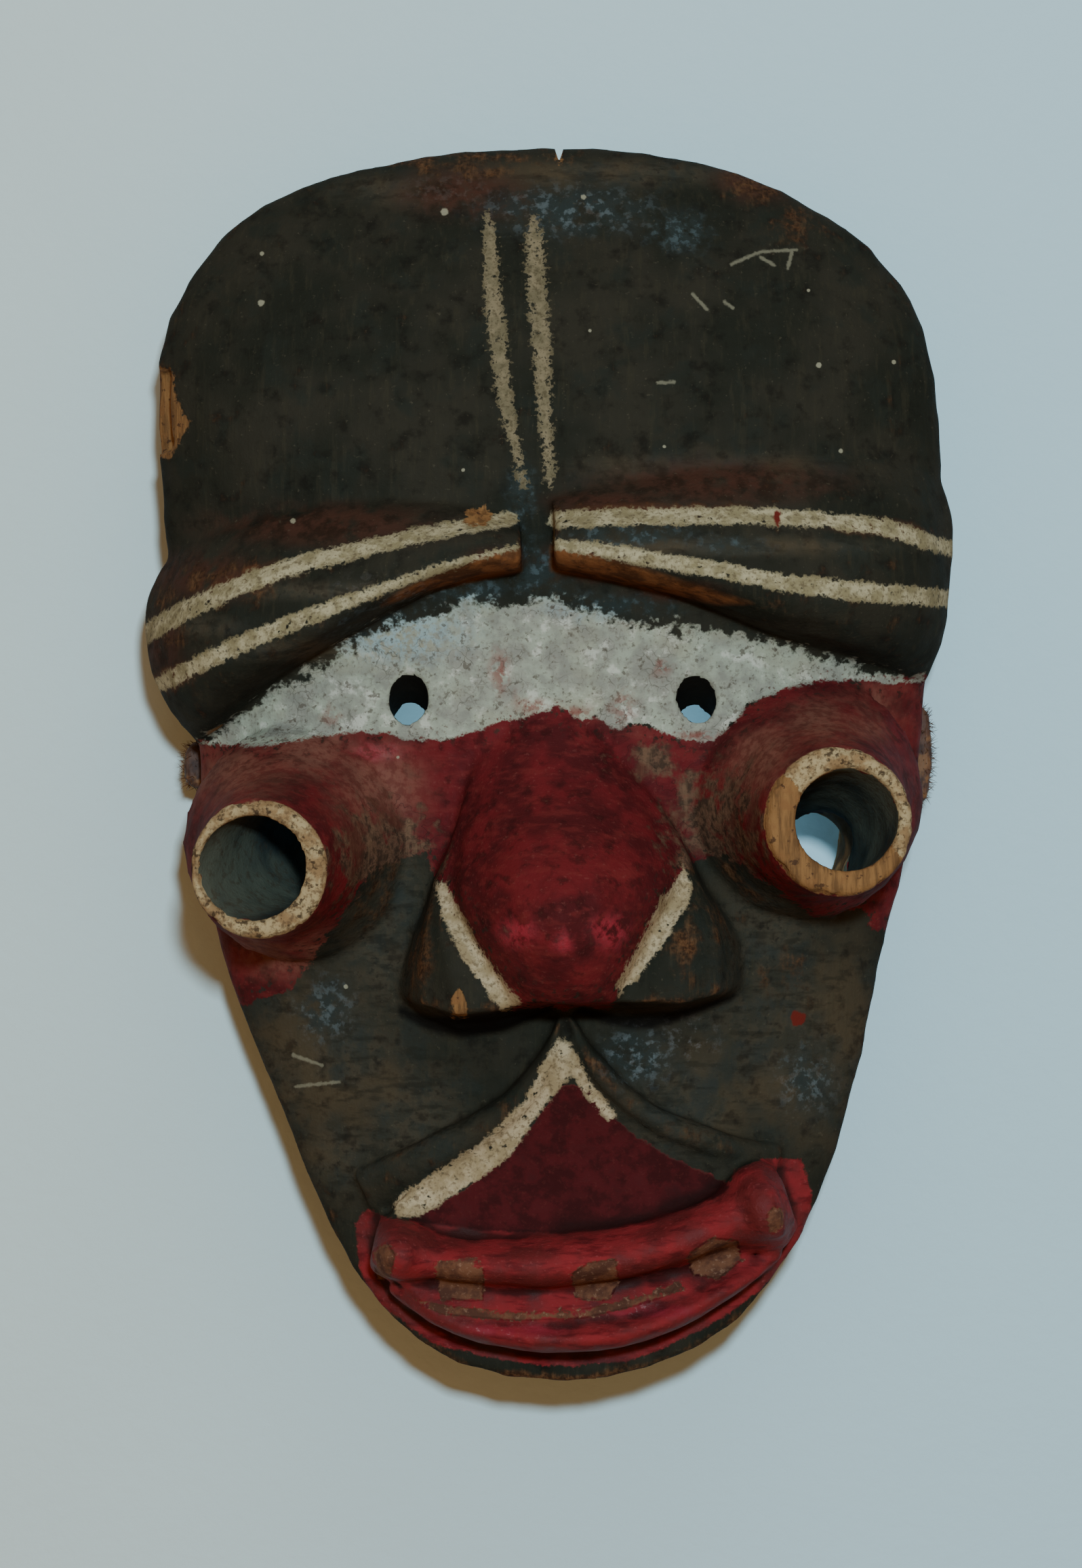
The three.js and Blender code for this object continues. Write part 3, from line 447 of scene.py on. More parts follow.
class Finish:
    """Builds the nodes of one material; places are Object coordinates in metres"""

    def __init__(self, name):
        self.material = bpy.data.materials.new(name)
        self.material.use_nodes = True
        self.tree = self.material.node_tree
        self.shader = self.tree.nodes["Principled BSDF"]
        self.place = self.tree.nodes.new("ShaderNodeTexCoord").outputs["Object"]
        self.made = {}

    def node(self, kind, inputs, **settings):
        return add_node(self.tree, kind, inputs, **settings)

    def value(self, name):
        """A number stored on the surface"""
        if name not in self.made:
            made = self.node("ShaderNodeAttribute", {}, attribute_name=name)
            self.made[name] = made.outputs["Fac"]
        return self.made[name]

    def sum(self, kind, first, second=0.0, third=0.0):
        inputs = {0: first, 1: second, 2: third}
        return self.node("ShaderNodeMath", inputs, operation=kind).outputs[0]

    def plus(self, first, second):
        return self.sum("ADD", first, second)

    def times(self, first, second):
        return self.sum("MULTIPLY", first, second)

    def less(self, first, second):
        return self.sum("SUBTRACT", first, second)

    def total(self, start, **weights):
        """A start plus stored values and shared noises, each times its weight"""
        for name, weight in weights.items():
            value = self.spots(name) if name in NOISES else self.value(name)
            start = self.sum("MULTIPLY_ADD", value, weight, start)
        return start

    def any_of(self, *masks):
        """Where any of the masks is"""
        found = masks[0]
        for mask in masks[1:]:
            found = self.sum("MAXIMUM", found, mask)
        return found

    def mottle(self, size, detail=4.0, stretch=None, seed=0.0, rough=0.55):
        """Noise from 0 to 1 with spots of the given size in millimetres"""
        key = (size, detail, stretch, seed, rough)
        if key not in self.made:
            inputs = {"Vector": self.place, "Location": (0.37 * seed, 0.53 * seed, 0.71 * seed)}
            inputs["Scale"] = stretch or (1.0, 1.0, 1.0)
            place = self.node("ShaderNodeMapping", inputs).outputs[0]
            inputs = {"Vector": place, "Scale": 1 / (size * MM), "Detail": detail, "Roughness": rough}
            self.made[key] = self.node("ShaderNodeTexNoise", inputs).outputs["Fac"]
        return self.made[key]

    def spots(self, *names):
        """Shared noises by name"""
        found = [self.mottle(*NOISES[name]) for name in names]
        return found if len(found) > 1 else found[0]

    def step(self, value, low, high, most=1.0):
        """0 under low, most over high"""
        inputs = {"Value": value, "From Min": low, "From Max": high, "To Max": most}
        made = self.node("ShaderNodeMapRange", inputs, interpolation_type="SMOOTHSTEP")
        return made.outputs["Result"]

    def ragged(self, name, coarse, fine, softness=0.25):
        """A stored distance in millimetres as a mask with a ragged edge"""
        wander = self.total(-2 * (coarse + fine), middle=4 * coarse, small=4 * fine)
        return self.step(self.plus(self.value(name), wander), -softness, softness)

    def broken(self, name, noise, low, high, most=1.0):
        """A stored value broken up by a shared noise"""
        return self.times(self.value(name), self.step(self.spots(noise), low, high, most))

    def veins(self, name, width):
        """Thin wandering lines along the middle level of a shared noise"""
        away = self.sum("ABSOLUTE", self.less(self.spots(name), 0.5))
        return self.step(away, width, 0.3 * width)

    def layers(self, colour, rows):
        """Colours over a colour: each from low to high of a shared noise, up to the most of its share"""
        for name, low, high, most, over in rows:
            colour = self.blend(self.step(self.spots(name), low, high, most), colour, over)
        return colour

    def blend(self, share, under, over):
        """A mix of two colours, each a socket, a code or a list"""
        inputs = {0: share}
        for key, colour in ((6, under), (7, over)):
            if isinstance(colour, str):
                colour = light_of(colour)
            elif not isinstance(colour, bpy.types.NodeSocket):
                colour = tuple(colour)[:3] + (1.0,)
            inputs[key] = colour
        return self.node("ShaderNodeMix", inputs, data_type="RGBA").outputs[2]

    def between(self, share, under, over):
        inputs = {0: share, 2: under, 3: over}
        return self.node("ShaderNodeMix", inputs, data_type="FLOAT").outputs[0]

    def flat(self):
        """Place on the face as seen from above"""
        if "flat" not in self.made:
            inputs = {0: self.place, 1: (1, 1, 0)}
            made = self.node("ShaderNodeVectorMath", inputs, operation="MULTIPLY")
            self.made["flat"] = made.outputs[0]
        return self.made["flat"]

    def spot(self, place, reach):
        """1 within reach of a place on the face"""
        inputs = {0: self.flat(), 1: (place[0], place[1], 0)}
        away = self.node("ShaderNodeVectorMath", inputs, operation="DISTANCE").outputs["Value"]
        edge = self.sum("MULTIPLY_ADD", self.spots("small"), 0.9 * reach, -0.45 * reach)
        return self.step(self.plus(away, edge), reach, 0.6 * reach)

    def scratch(self, start, end, width):
        """1 on a straight scratch on the face, fading at both ends"""
        start = Vector((start[0], start[1], 0))
        way = Vector((end[0], end[1], 0)) - start
        inputs = {0: self.flat(), 1: start}
        offset = self.node("ShaderNodeVectorMath", inputs, operation="SUBTRACT").outputs[0]
        inputs = {0: offset, 1: way / way.length_squared}
        share = self.node("ShaderNodeVectorMath", inputs, operation="DOT_PRODUCT").outputs["Value"]
        share = self.node("ShaderNodeClamp", {0: share}).outputs[0]
        on = self.node("ShaderNodeVectorMath", {0: way, 3: share}, operation="SCALE").outputs[0]
        away = self.node("ShaderNodeVectorMath", {0: offset, 1: on}, operation="DISTANCE")
        edge = self.sum("MULTIPLY_ADD", self.spots("small"), 1.6 * width, -0.8 * width)
        return self.step(self.plus(away.outputs["Value"], edge), width, 0.2 * width)

    def finish(self, colour, roughness, height, depth=MM):
        self.tree.links.new(colour, self.shader.inputs["Base Color"])
        self.tree.links.new(roughness, self.shader.inputs["Roughness"])
        bump = self.node("ShaderNodeBump", {"Height": height, "Distance": depth, "Strength": 1.0})
        self.tree.links.new(bump.outputs["Normal"], self.shader.inputs["Normal"])
        return self.material


def black_paint(wood, settings):
    """Dull dark paint with the grain showing through, rubbed brown on edges and worn places"""
    black = wood.layers(settings.black_paint, [
        ("large", 0.36, 0.64, 1.0, "#24231c"),
        ("patch", 0.5, 0.66, 0.7, "#1b1f1a"),
    ])
    dusty = wood.layers("#2c2c25", [
        ("middle", 0.4, 0.62, 1.0, "#3d382d"),
        ("grit", 0.56, 0.7, 0.7, "#1a1916"),
        ("patch", 0.5, 0.64, 0.5, "#242b2a"),
        ("large", 0.5, 0.62, 0.6, "#453a29"),
        ("brushed", 0.5, 0.66, 0.5, "#15140f"),
    ])
    black = wood.blend(wood.times(wood.value("dusty"), 0.85), black, dusty)
    black = wood.layers(black, [
        ("grain", 0.5, 0.72, 0.4, "#2d2b20"),
        ("middle", 0.5, 0.72, 0.6, "#0e0d0b"),
    ])
    # Reddish-brown: worn paint on the brows' tops, and painted warm light on the brows' shaded undersides
    ruddy_wear_and_painted_light = wood.layers("#36221a", [("middle", 0.42, 0.6, 1.0, "#241811")])
    black = wood.blend(wood.broken("ruddy_wear_and_painted_light", "patch", 0.3, 0.5), black, ruddy_wear_and_painted_light)
    # Bluish-green with pale blue flecks: partly real tint, partly painted sheen and glints of the bluish
    # light
    teal_tint_and_sheen = wood.layers("#232b2a", [("grit", 0.5, 0.62, 1.0, "#3a474a")])
    black = wood.blend(wood.broken("teal_tint_and_sheen", "middle", 0.36, 0.56, 0.85), black, teal_tint_and_sheen)
    brown = wood.layers("#2a1b11", [
        ("small", 0.4, 0.62, 1.0, "#4b3320"),
        ("grain", 0.48, 0.68, 0.8, "#553e29"),
    ])
    rub = wood.total(-1.5, edge=0.6, worn=0.6, middle=1.8, grain=0.6)
    colour = wood.blend(wood.step(rub, 0.1, 0.9), black, brown)
    # Painted light: the brows' shaded undersides turn a lighter warm brown, standing in for the warm light
    # there
    under = wood.layers("#6b4527", [("middle", 0.4, 0.62, 1.0, "#452b18")])
    colour = wood.blend(wood.step(wood.value("under"), -0.8, 0.8, 0.8), colour, under)
    colour = wood.layers(colour, [("small", 0.62, 0.74, 0.3, "#4c483a")])
    # Painted shadow: near-black under the nose's wings, where the nose's shadow falls
    return wood.blend(wood.step(wood.value("nose_shadow"), -1.2, 0.6, 0.9), colour, "#080706")


def red_paint(wood, settings):
    """Dull crimson round the eyes and on the nose, smudged dark and worn to grey-brown wood"""
    red = wood.layers(settings.red_paint, [
        ("patch", 0.36, 0.62, 1.0, "#3c1012"),
        ("brushed", 0.48, 0.68, 0.5, "#5c1f1e"),
    ])
    # Painted highlights: lighter red on the nose's tip where light glints
    red = wood.blend(wood.broken("painted_highlight_and_gloss", "middle", 0.4, 0.52), red, "#7a1c28")
    red = wood.layers(red, [("middle", 0.52, 0.68, 0.65, "#270b0b")])
    browned = wood.layers("#684539", [("grit", 0.42, 0.6, 1.0, "#56332a")])
    red = wood.blend(wood.broken("browned", "large", 0.3, 0.55, 0.75), red, browned)
    red = wood.layers(red, [("small", 0.58, 0.72, 0.3, "#6b3a34")])
    bared = wood.layers("#34271e", [
        ("grit", 0.4, 0.6, 1.0, "#533d2f"),
        ("grain", 0.5, 0.66, 0.5, "#604a38"),
        ("patch", 0.5, 0.62, 0.7, "#48251d"),
    ])
    wear = wood.total(-1.52, middle=2.4, worn=0.95, edge=0.15)
    red = wood.blend(wood.step(wear, 0.1, 0.6), red, bared)
    lines = wood.times(wood.veins("patch", 0.007), wood.step(wood.value("worn"), 0.1, 0.5, 0.4))
    return wood.blend(lines, red, "#140d0a")


def white_paint(wood, settings):
    """White band over the eyes: chalky and cloudy, stained, speckled and finely cracked"""
    white = wood.layers(settings.white_paint, [
        ("patch", 0.4, 0.62, 1.0, "#7b7b71"),
        ("middle", 0.46, 0.66, 0.7, "#6d6d65"),
        ("middle", 0.46, 0.34, 0.6, "#b3b4a8"),
        ("large", 0.5, 0.62, 0.4, "#87856f"),
    ])
    # Bluish tint on the band: partly real tint, partly painted highlight of the bluish light
    white = wood.blend(wood.broken("teal_tint_and_sheen", "grit", 0.4, 0.56, 0.7), white, "#7f979c")
    white = wood.layers(white, [
        ("small", 0.52, 0.68, 0.6, "#5d584e"),
        ("grit", 0.6, 0.66, 0.7, "#4a433a"),
    ])
    white = wood.blend(wood.broken("stain", "grit", 0.4, 0.52, 0.8), white, "#6c3b33")
    shake = wood.node("ShaderNodeTexNoise", {"Vector": wood.place, "Scale": 300.0, "Detail": 2.0})
    inputs = {0: shake.outputs["Color"], 1: (0.004, 0.004, 0.004), 2: wood.place}
    shaken = wood.node("ShaderNodeVectorMath", inputs, operation="MULTIPLY_ADD")
    inputs = {"Vector": shaken.outputs[0], "Scale": 330.0}
    cells = wood.node("ShaderNodeTexVoronoi", inputs, feature="DISTANCE_TO_EDGE")
    crack = wood.step(cells.outputs["Distance"], 0.05, 0.0)
    crack = wood.times(crack, wood.step(wood.spots("patch"), 0.48, 0.62, 0.6))
    return wood.blend(crack, white, "#3b372f")


def lip_paint(wood, settings):
    """Satin crimson on the lips, with painted shade darkening the grooves"""
    lips = wood.layers(settings.lip_paint, [
        ("patch", 0.36, 0.62, 1.0, "#4f1718"),
        ("brushed", 0.5, 0.68, 0.6, "#360a0e"),
    ])
    # Painted highlights: lighter crimson along the lower lip where light glints
    lips = wood.blend(wood.broken("painted_highlight_and_gloss", "patch", 0.32, 0.56, 0.9), lips, "#731d2a")
    lips = wood.layers(lips, [("small", 0.58, 0.72, 0.35, "#7b3a3a")])
    deep = wood.layers("#3d1012", [
        ("middle", 0.42, 0.6, 1.0, "#2e0e0f"),
        ("small", 0.56, 0.7, 0.3, "#4d211d"),
    ])
    lips = wood.blend(wood.ragged("plane", 0.4, 0.3, 0.4), lips, deep)
    # Painted shade: near-black in the grooves between the lips, where the surface curves inwards
    groove_shade = wood.total(-0.4, edge=1.0, middle=0.8)
    return wood.blend(wood.step(groove_shade, -0.15, -0.8, 0.85), lips, "#190b0a")


def thin_paint(wood, name, colours, coarse, fine, cover):
    """A brushed line of pale paint, thin and broken; gives its mask and its colour"""
    light, dull, dark = colours
    paint = wood.layers(light, [("middle", 0.38, 0.62, 1.0, dull), ("small", 0.48, 0.66, 0.7, dark)])
    gaps = wood.step(wood.spots("grit"), cover, cover + 0.1)
    return wood.times(wood.ragged(name, coarse, fine, 0.4), gaps), paint


def paint_wood(settings, specks, scratches):
    """The material of the whole mask: paint in layers over bare wood"""
    wood = Finish("painted_wood")
    patch, grit, small, grain = wood.spots("patch", "grit", "small", "grain")
    gaps = wood.times(wood.step(grit, 0.56, 0.64), wood.step(wood.value("red"), 8.0, 0.0))
    on_red = wood.times(wood.ragged("red", 1.4, 0.7, 0.4), wood.less(1.0, gaps))
    colour = wood.blend(on_red, black_paint(wood, settings), red_paint(wood, settings))

    # The band thins out towards its upper edge
    cover = wood.total(0.0, grit=1.0, middle=1.0, fade=0.1)
    gaps = wood.times(wood.step(small, 0.6, 0.68), wood.step(wood.value("white"), 5.0, 0.0, 0.9))
    on_white = wood.times(wood.ragged("white", 0.8, 0.7, 0.35), wood.less(1.0, gaps))
    on_white = wood.times(on_white, wood.step(cover, 1.1, 1.32))
    colour = wood.blend(on_white, colour, white_paint(wood, settings))

    # Stripes in the carved lines, the brows' with a rubbed brown fringe
    fringe = wood.step(wood.total(-3.0, tan=1.0, middle=6.0), -1.6, 0.4, 0.7)
    fringe = wood.times(fringe, wood.value("fringe"))
    colour = wood.blend(fringe, colour, wood.blend(small, "#2c170f", "#63402a"))
    codes = (settings.stripe_paint, "#6f684e", "#4c4332")
    on_tan, tan = thin_paint(wood, "tan", codes, 0.7, 0.8, 0.3)
    colour = wood.blend(on_tan, colour, tan)
    on_line, line = thin_paint(wood, "line", ("#6f6650", "#5b5541", "#3f3928"), 0.7, 1.5, 0.32)
    colour = wood.blend(wood.times(on_line, 0.92), colour, line)

    # Lips, and the cream stripes by the nose and the lips
    on_lips = wood.ragged("lips", 0.5, 0.4, 0.3)
    colour = wood.blend(on_lips, colour, lip_paint(wood, settings))
    on_cream, cream = thin_paint(wood, "cream", ("#9a8d72", "#7d6f54", "#554835"), 0.7, 0.8, 0.3)
    colour = wood.blend(on_cream, colour, cream)

    # Rims of the tubes, and flakes and chips down to the wood
    on_rim = wood.ragged("rim", 0.2, 0.3, 0.3)
    colour = wood.blend(on_rim, colour, wood.layers("#8f8060", [
        ("middle", 0.4, 0.6, 1.0, "#755f42"),
        ("small", 0.48, 0.64, 0.8, "#54432f"),
        ("grit", 0.55, 0.63, 0.8, "#2b2118"),
    ]))
    on_flake = wood.ragged("flake", 0.8, 0.6, 0.3)
    colour = wood.blend(on_flake, colour, wood.layers("#5b3c2b", [
        ("middle", 0.4, 0.6, 1.0, "#412920"),
        ("small", 0.56, 0.7, 0.6, "#755a48"),
    ]))
    on_bare = wood.ragged("bare", 0.6, 0.5, 0.25)
    colour = wood.blend(on_bare, colour, wood.layers(settings.bare_wood, [
        ("grain", 0.4, 0.62, 1.0, "#543d26"),
        ("middle", 0.5, 0.64, 0.8, "#6b4c2f"),
        ("grit", 0.6, 0.67, 0.8, "#33231a"),
    ]))

    # Dark bores, and sight holes painted near-black as painted shade inside them
    dark = wood.layers("#232928", [
        ("large", 0.36, 0.6, 1.0, "#42453b"),
        ("grit", 0.5, 0.66, 0.5, "#33291d"),
    ])
    dark = wood.blend(wood.value("sight"), dark, "#12110d")
    on_bore = wood.step(wood.value("bore"), -0.1, 0.25)
    colour = wood.blend(on_bore, colour, dark)

    # Splashes of white, pale scratches and the small dark red marks
    marks = [wood.spot((x, y), reach) for x, y, reach in specks]
    for start, end in scratches:
        marks.append(wood.times(wood.scratch(start, end, 0.6 * MM), 0.55))
    colour = wood.blend(wood.times(wood.any_of(*marks), 0.7), colour, "#858470")
    colour = wood.blend(wood.ragged("mark", 0.1, 0.2), colour, "#521c15")

    # Raw wood of the hollow, stained dark in places
    raw = wood.layers(wood.blend(grain, "#5d4129", "#83603c"), [("large", 0.4, 0.62, 1.0, "#453020")])
    raw = wood.blend(wood.step(wood.value("edge"), 0.15, 0.6), raw, "#96714a")
    inside = wood.step(wood.value("inside"), 0.35, 0.65)
    colour = wood.blend(inside, colour, raw)

    # Gloss on the red paint, the lips and a few smooth places of the black
    gloss = wood.broken("sheen", "grit", 0.5, 0.64, 0.8)
    glint = wood.broken("painted_highlight_and_gloss", "middle", 0.42, 0.56)
    gloss = wood.between(on_red, gloss, wood.sum("MULTIPLY_ADD", glint, 0.6, 0.08))
    matt = wood.step(wood.value("plane"), -0.5, 0.5)
    waxed = wood.times(wood.step(patch, 0.36, 0.64, 0.6), wood.less(1.0, matt))
    glint = wood.broken("painted_highlight_and_gloss", "small", 0.54, 0.62, 0.8)
    gloss = wood.between(on_lips, gloss, wood.sum("MULTIPLY_ADD", waxed, 0.6, glint))
    dull = wood.any_of(on_white, on_cream, on_tan, on_flake, on_bare, on_rim, inside, on_bore)
    gloss = wood.times(gloss, wood.less(1.0, dull))
    rough = wood.sum("MULTIPLY_ADD", gloss, -0.4, wood.total(0.6, middle=0.4))
    shine = wood.sum("MULTIPLY_ADD", gloss, 0.3, 0.06)
    wood.tree.links.new(shine, wood.shader.inputs["Specular IOR Level"])

    # Fine relief: paint and brush marks, deeper grain on raw wood, and the steps of flakes and chips
    scored = wood.any_of(wood.value("inside"), wood.step(wood.value("bare"), -0.5, 0.5))
    grain = wood.times(grain, wood.sum("MULTIPLY_ADD", scored, 0.4, 0.1))
    worn_off = wood.step(wood.any_of(wood.value("flake"), wood.value("bare")), -0.3, 0.3)
    height = wood.plus(wood.total(0.0, small=0.2, brushed=0.12), grain)
    return wood.finish(colour, rough, wood.less(height, wood.times(worn_off, 0.3)))


# The mask

def bare_copy(node, name):
    """A free copy of a solid's mesh with its doubles merged"""
    made = bpy.data.objects.new(name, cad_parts[node].data.copy())
    bpy.context.scene.collection.objects.link(made)
    made.data.materials.clear()
    weld = made.modifiers.new("weld", "WELD")
    weld.merge_threshold = 0.01 * MM
    return made


def settled(made):
    """Turns an object's modifiers into its mesh"""
    graph = bpy.context.evaluated_depsgraph_get()
    mesh = bpy.data.meshes.new_from_object(made.evaluated_get(graph))
    made.modifiers.clear()
    made.data = mesh
    return made


def widened(made, mouth):
    """Opens a bore's mouth towards the hollow along a straight line"""
    start = Vector(mouth["start"]) * MM
    way = Vector(mouth["end"]) * MM - start
    drill = bmesh.new()
    radius = mouth["radius"] * MM
    bmesh.ops.create_cone(drill, cap_ends=True, segments=40, radius1=radius, radius2=radius, depth=way.length)
    turn = way.to_track_quat("Z", "Y").to_matrix().to_4x4()
    bmesh.ops.transform(drill, matrix=Matrix.Translation(start + way / 2) @ turn, verts=drill.verts)
    mesh = bpy.data.meshes.new("mouth")
    drill.to_mesh(mesh)
    drill.free()
    cutter = bpy.data.objects.new("mouth", mesh)
    bpy.context.scene.collection.objects.link(cutter)
    cut = made.modifiers.new("mouth", "BOOLEAN")
    cut.operation = "DIFFERENCE"
    cut.object = cutter
    settled(made)
    bpy.data.objects.remove(cutter)
    return made


def remeshed(made, voxel):
    grid = made.modifiers.new("grid", "REMESH")
    grid.mode = "VOXEL"
    grid.voxel_size = voxel
    return settled(made)


def round_facets(surface, rounds):
    """Smooths the facets of the solid away without shrinking it, and keeps its carved edges"""
    soft = surface.spread(surface.normals, 12)
    soft /= np.linalg.norm(soft, axis=1)[:, None]
    turn = np.degrees(np.arccos(np.clip((soft * surface.normals).sum(axis=1), -1, 1)))
    firm = surface.spread(rise(turn, 7.0, 16.0)[:, None], 3)
    pixels, _ = seen_at(surface.points)
    firm = np.clip(1.4 * firm, 0, 1) * (1 - 0.8 * in_soft_spots(pixels, SOFT_FORMS)[:, None])
    points = surface.points
    for _ in range(rounds):
        points = surface.spread(points, 1, 0.62 * (1 - firm))
        points = surface.spread(points, 1, -0.645 * (1 - firm))
    surface.place(points)
    surface.place(surface.spread(points, 2, 0.5 - 0.35 * firm))
    pixels, _ = seen_at(surface.points)
    near = in_soft_spots(pixels, [PIT])[:, None] * (surface.normals[:, 2:] > -0.5)
    surface.place(surface.spread(surface.points, 90, 0.9 * near))


def hidden_side(surface):
    """1 in the hollow and under the rim, 0 on the face and the outer sides"""
    outward = surface.points[:, :2] / np.maximum(np.linalg.norm(surface.points[:, :2], axis=1), MM)[:, None]
    facing = (surface.normals[:, :2] * outward).sum(axis=1)
    low = surface.points[:, 2] < HOLLOW_TOP * MM
    under = surface.normals[:, 2] < -0.3
    wall = (facing < -0.25) & (surface.normals[:, 2] < 0.35) & low
    return surface.spread((under | wall).astype(float)[:, None], 4)[:, 0]


def along_axis(points, start, lean):
    """Distance along and away from a leaning axis"""
    axis = np.array([lean[0], lean[1], 1.0])
    axis /= np.linalg.norm(axis)
    offset = points - np.asarray(start) * MM
    along = offset @ axis
    return along, np.linalg.norm(offset - along[:, None] * axis, axis=1)


def carve(surface, settings):
    """Tool marks, hollows and lumps of the hand carving, and the crack in the crown"""
    hidden = hidden_side(surface)
    face = 1 - hidden
    points = surface.points.copy()
    relief = settings.unevenness * (0.7 * lumps(points, 20, 1) + 0.3 * lumps(points, 7, 2))
    relief += face * settings.adze_depth * (scoops(points, (9, 12, 9), 3) - 0.4)
    relief += hidden * settings.gouge_depth * (scoops(points, (11, 19, 11), 4) - 0.4)
    for tube in (LEFT_TUBE, RIGHT_TUBE):
        height, away = along_axis(points, tube["rim"], tube["rim_lean"])
        outside = (tube["bore"] + tube["wall"]) * MM
        near = (1 - rise(away, outside, outside + 2 * MM)) * (1 - rise(np.abs(height), MM, 3 * MM))
        relief *= 1 - 0.6 * near
        corner = 1 - rise(np.abs(away - outside), 0, 2 * MM)
        relief -= near * corner * settings.rim_chips * np.clip(2 * lumps(points, 4, 6) - 0.3, 0, 1)
    surface.push(relief)
    points = surface.points.copy()
    way = points[:, :2] - (0, CROWN["from"] * MM)
    way /= np.linalg.norm(way, axis=1)[:, None] + 1e-9
    growth = CROWN["growth"] * MM * rise(points[:, 1], CROWN["from"] * MM, CROWN["to"] * MM)
    points[:, :2] += growth[:, None] * way
    crown = points[:, 1].max()
    off = np.abs(points[:, 0] - CRACK["place"] * MM) / (CRACK["half_width"] * MM)
    floor = crown - CRACK["depth"] * MM * np.clip(1 - off, 0, 1)
    points[:, 1] = np.where(off < 1, np.minimum(points[:, 1], floor), points[:, 1])
    surface.place(points)


def tube_zones(surface, pixels, scale, bare):
    """Painted rims, the bare stretch of the right one, and the bores and sight holes"""
    rim = np.full(surface.size, -20.0)
    bore = np.full(surface.size, -20.0)
    for tube, side in ((LEFT_TUBE, -1), (RIGHT_TUBE, 1)):
        height, away = along_axis(surface.points, tube["rim"], tube["rim_lean"])
        close = away < (tube["bore"] + tube["wall"] + RIM_PAINT["past"]) * MM
        rim = np.where(close, height / MM + RIM_PAINT["down"], rim)
        if side > 0:
            within = in_outline(pixels, RIGHT_RIM_BARE) * scale
            patch = np.minimum(within, height / MM + RIM_PAINT["bare"])
            bare = np.where(close, np.maximum(bare, patch), bare)
        depth, away = along_axis(surface.points, tube["mouth"], tube["lean"])
        lean = np.append(tube["lean"], 1.0)
        lean /= np.linalg.norm(lean)
        outward = surface.points - np.array(tube["mouth"]) * MM - depth[:, None] * lean
        facing = (outward * surface.normals).sum(axis=1) < 0
        in_bore = facing & (height < -MM) & (depth > -RIM_PAINT["depth"] * MM)
        bore = np.where(in_bore, np.maximum(bore, tube["bore"] + RIM_PAINT["bore"] - away / MM), bore)
    level = np.abs(surface.normals[:, 2]) < 0.7
    lowest, highest = SIGHT_HOLE_HEIGHTS
    below = np.clip(highest - surface.points[:, 2] / MM, 0, 12)
    # Near the sight holes, for painted shade: their walls get near-black paint
    sight = np.zeros(surface.size)
    for x, y, reach in SIGHT_HOLES:
        away = np.hypot(pixels[:, 0] - x, (pixels[:, 1] - y) / 1.15)
        within = (reach + 5 * below - away) * scale
        in_hole = level & (surface.points[:, 2] > lowest * MM)
        bore = np.where(in_hole, np.maximum(bore, within), bore)
        sight = np.maximum(sight, (away < 120).astype(float))
    surface.keep("rim", rim)
    surface.keep("bare", bare)
    surface.keep("bore", bore)
    surface.keep("sight", sight)


def zones(surface):
    """Stores where each paint lies, as millimetres inside its outline"""
    pixels, scale = seen_at(surface.points)

    def inside(shapes):
        return np.max([in_outline(pixels, shape) for shape in shapes], axis=0) * scale

    def along(lines):
        return np.max([on_line(pixels, line) for line in lines], axis=0) * scale

    soft = surface.spread(surface.points, 10)
    edge = ((surface.points - soft) * surface.normals).sum(axis=1) / MM
    surface.keep("inside", hidden_side(surface))
    surface.keep("edge", surface.spread(edge[:, None] * 2.2, 2))
    for name, shapes in OUTLINES.items():
        surface.keep(name, inside(shapes))
    for name, lines in LINES.items():
        surface.keep(name, along(lines))
    for name, places in SOFT_PLACES.items():
        surface.keep(name, in_soft_spots(pixels, places))
    surface.keep("fade", -along([[(x, y, 0) for x, y in BAND_TOP]]))
    stripe = along([[(x, y, 9) for x, y in RIGHT_LIP_STRIPE]])
    surface.keep("cream", np.maximum(inside([LEFT_CREASE, RIGHT_CREASE, LEFT_LIP_STRIPE]), stripe))
    surface.keep("plane", np.minimum(inside(LIPS[:1]), -inside(LIPS[1:])))
    tube_zones(surface, pixels, scale, inside(BARE_PATCHES))


def on_face(surface, x, y):
    """Point of the face that is seen at a pixel"""
    pixels, _ = seen_at(surface.points)
    away = np.hypot(pixels[:, 0] - x, pixels[:, 1] - y)
    near = np.where(away < away.min() + 6)[0]
    return surface.points[near[surface.points[near, 2].argmax()]]


def length(name, description, size):
    """A setting for a length, given in millimetres"""
    return FloatProperty(name=name, description=description, default=size * MM, unit="LENGTH")


def paint(name, description, code):
    """A setting for a colour"""
    colour = light_of(code)[:3]
    return FloatVectorProperty(name=name, description=description, subtype="COLOR", default=colour)


class MaskWood(bpy.types.PropertyGroup):
    voxel: length("Grid", "Spacing of the carved surface's points", 0.95)
    triangles: IntProperty(name="Triangles", description="Most triangles of the mask", default=190000)
    unevenness: length("Unevenness", "Height of the carving's lumps", 0.35)
    adze_depth: length("Adze marks", "Depth of the marks on the face", 0.4)
    gouge_depth: length("Gouge marks", "Depth of the marks in the hollow", 1.3)
    rim_chips: length("Rim chips", "Depth of the chips on the tubes' rims", 0.9)
    black_paint: paint("Black paint", "Colour of the dark paint", "#191b15")
    red_paint: paint("Red paint", "Colour round the eyes and nose", "#541518")
    lip_paint: paint("Lip paint", "Colour of the lips", "#6e2023")
    white_paint: paint("White paint", "Colour of the band", "#878d7e")
    stripe_paint: paint("Stripe paint", "Colour in the brows' carved lines", "#928c71")
    bare_wood: paint("Bare wood", "Colour of the chipped wood", "#735534")


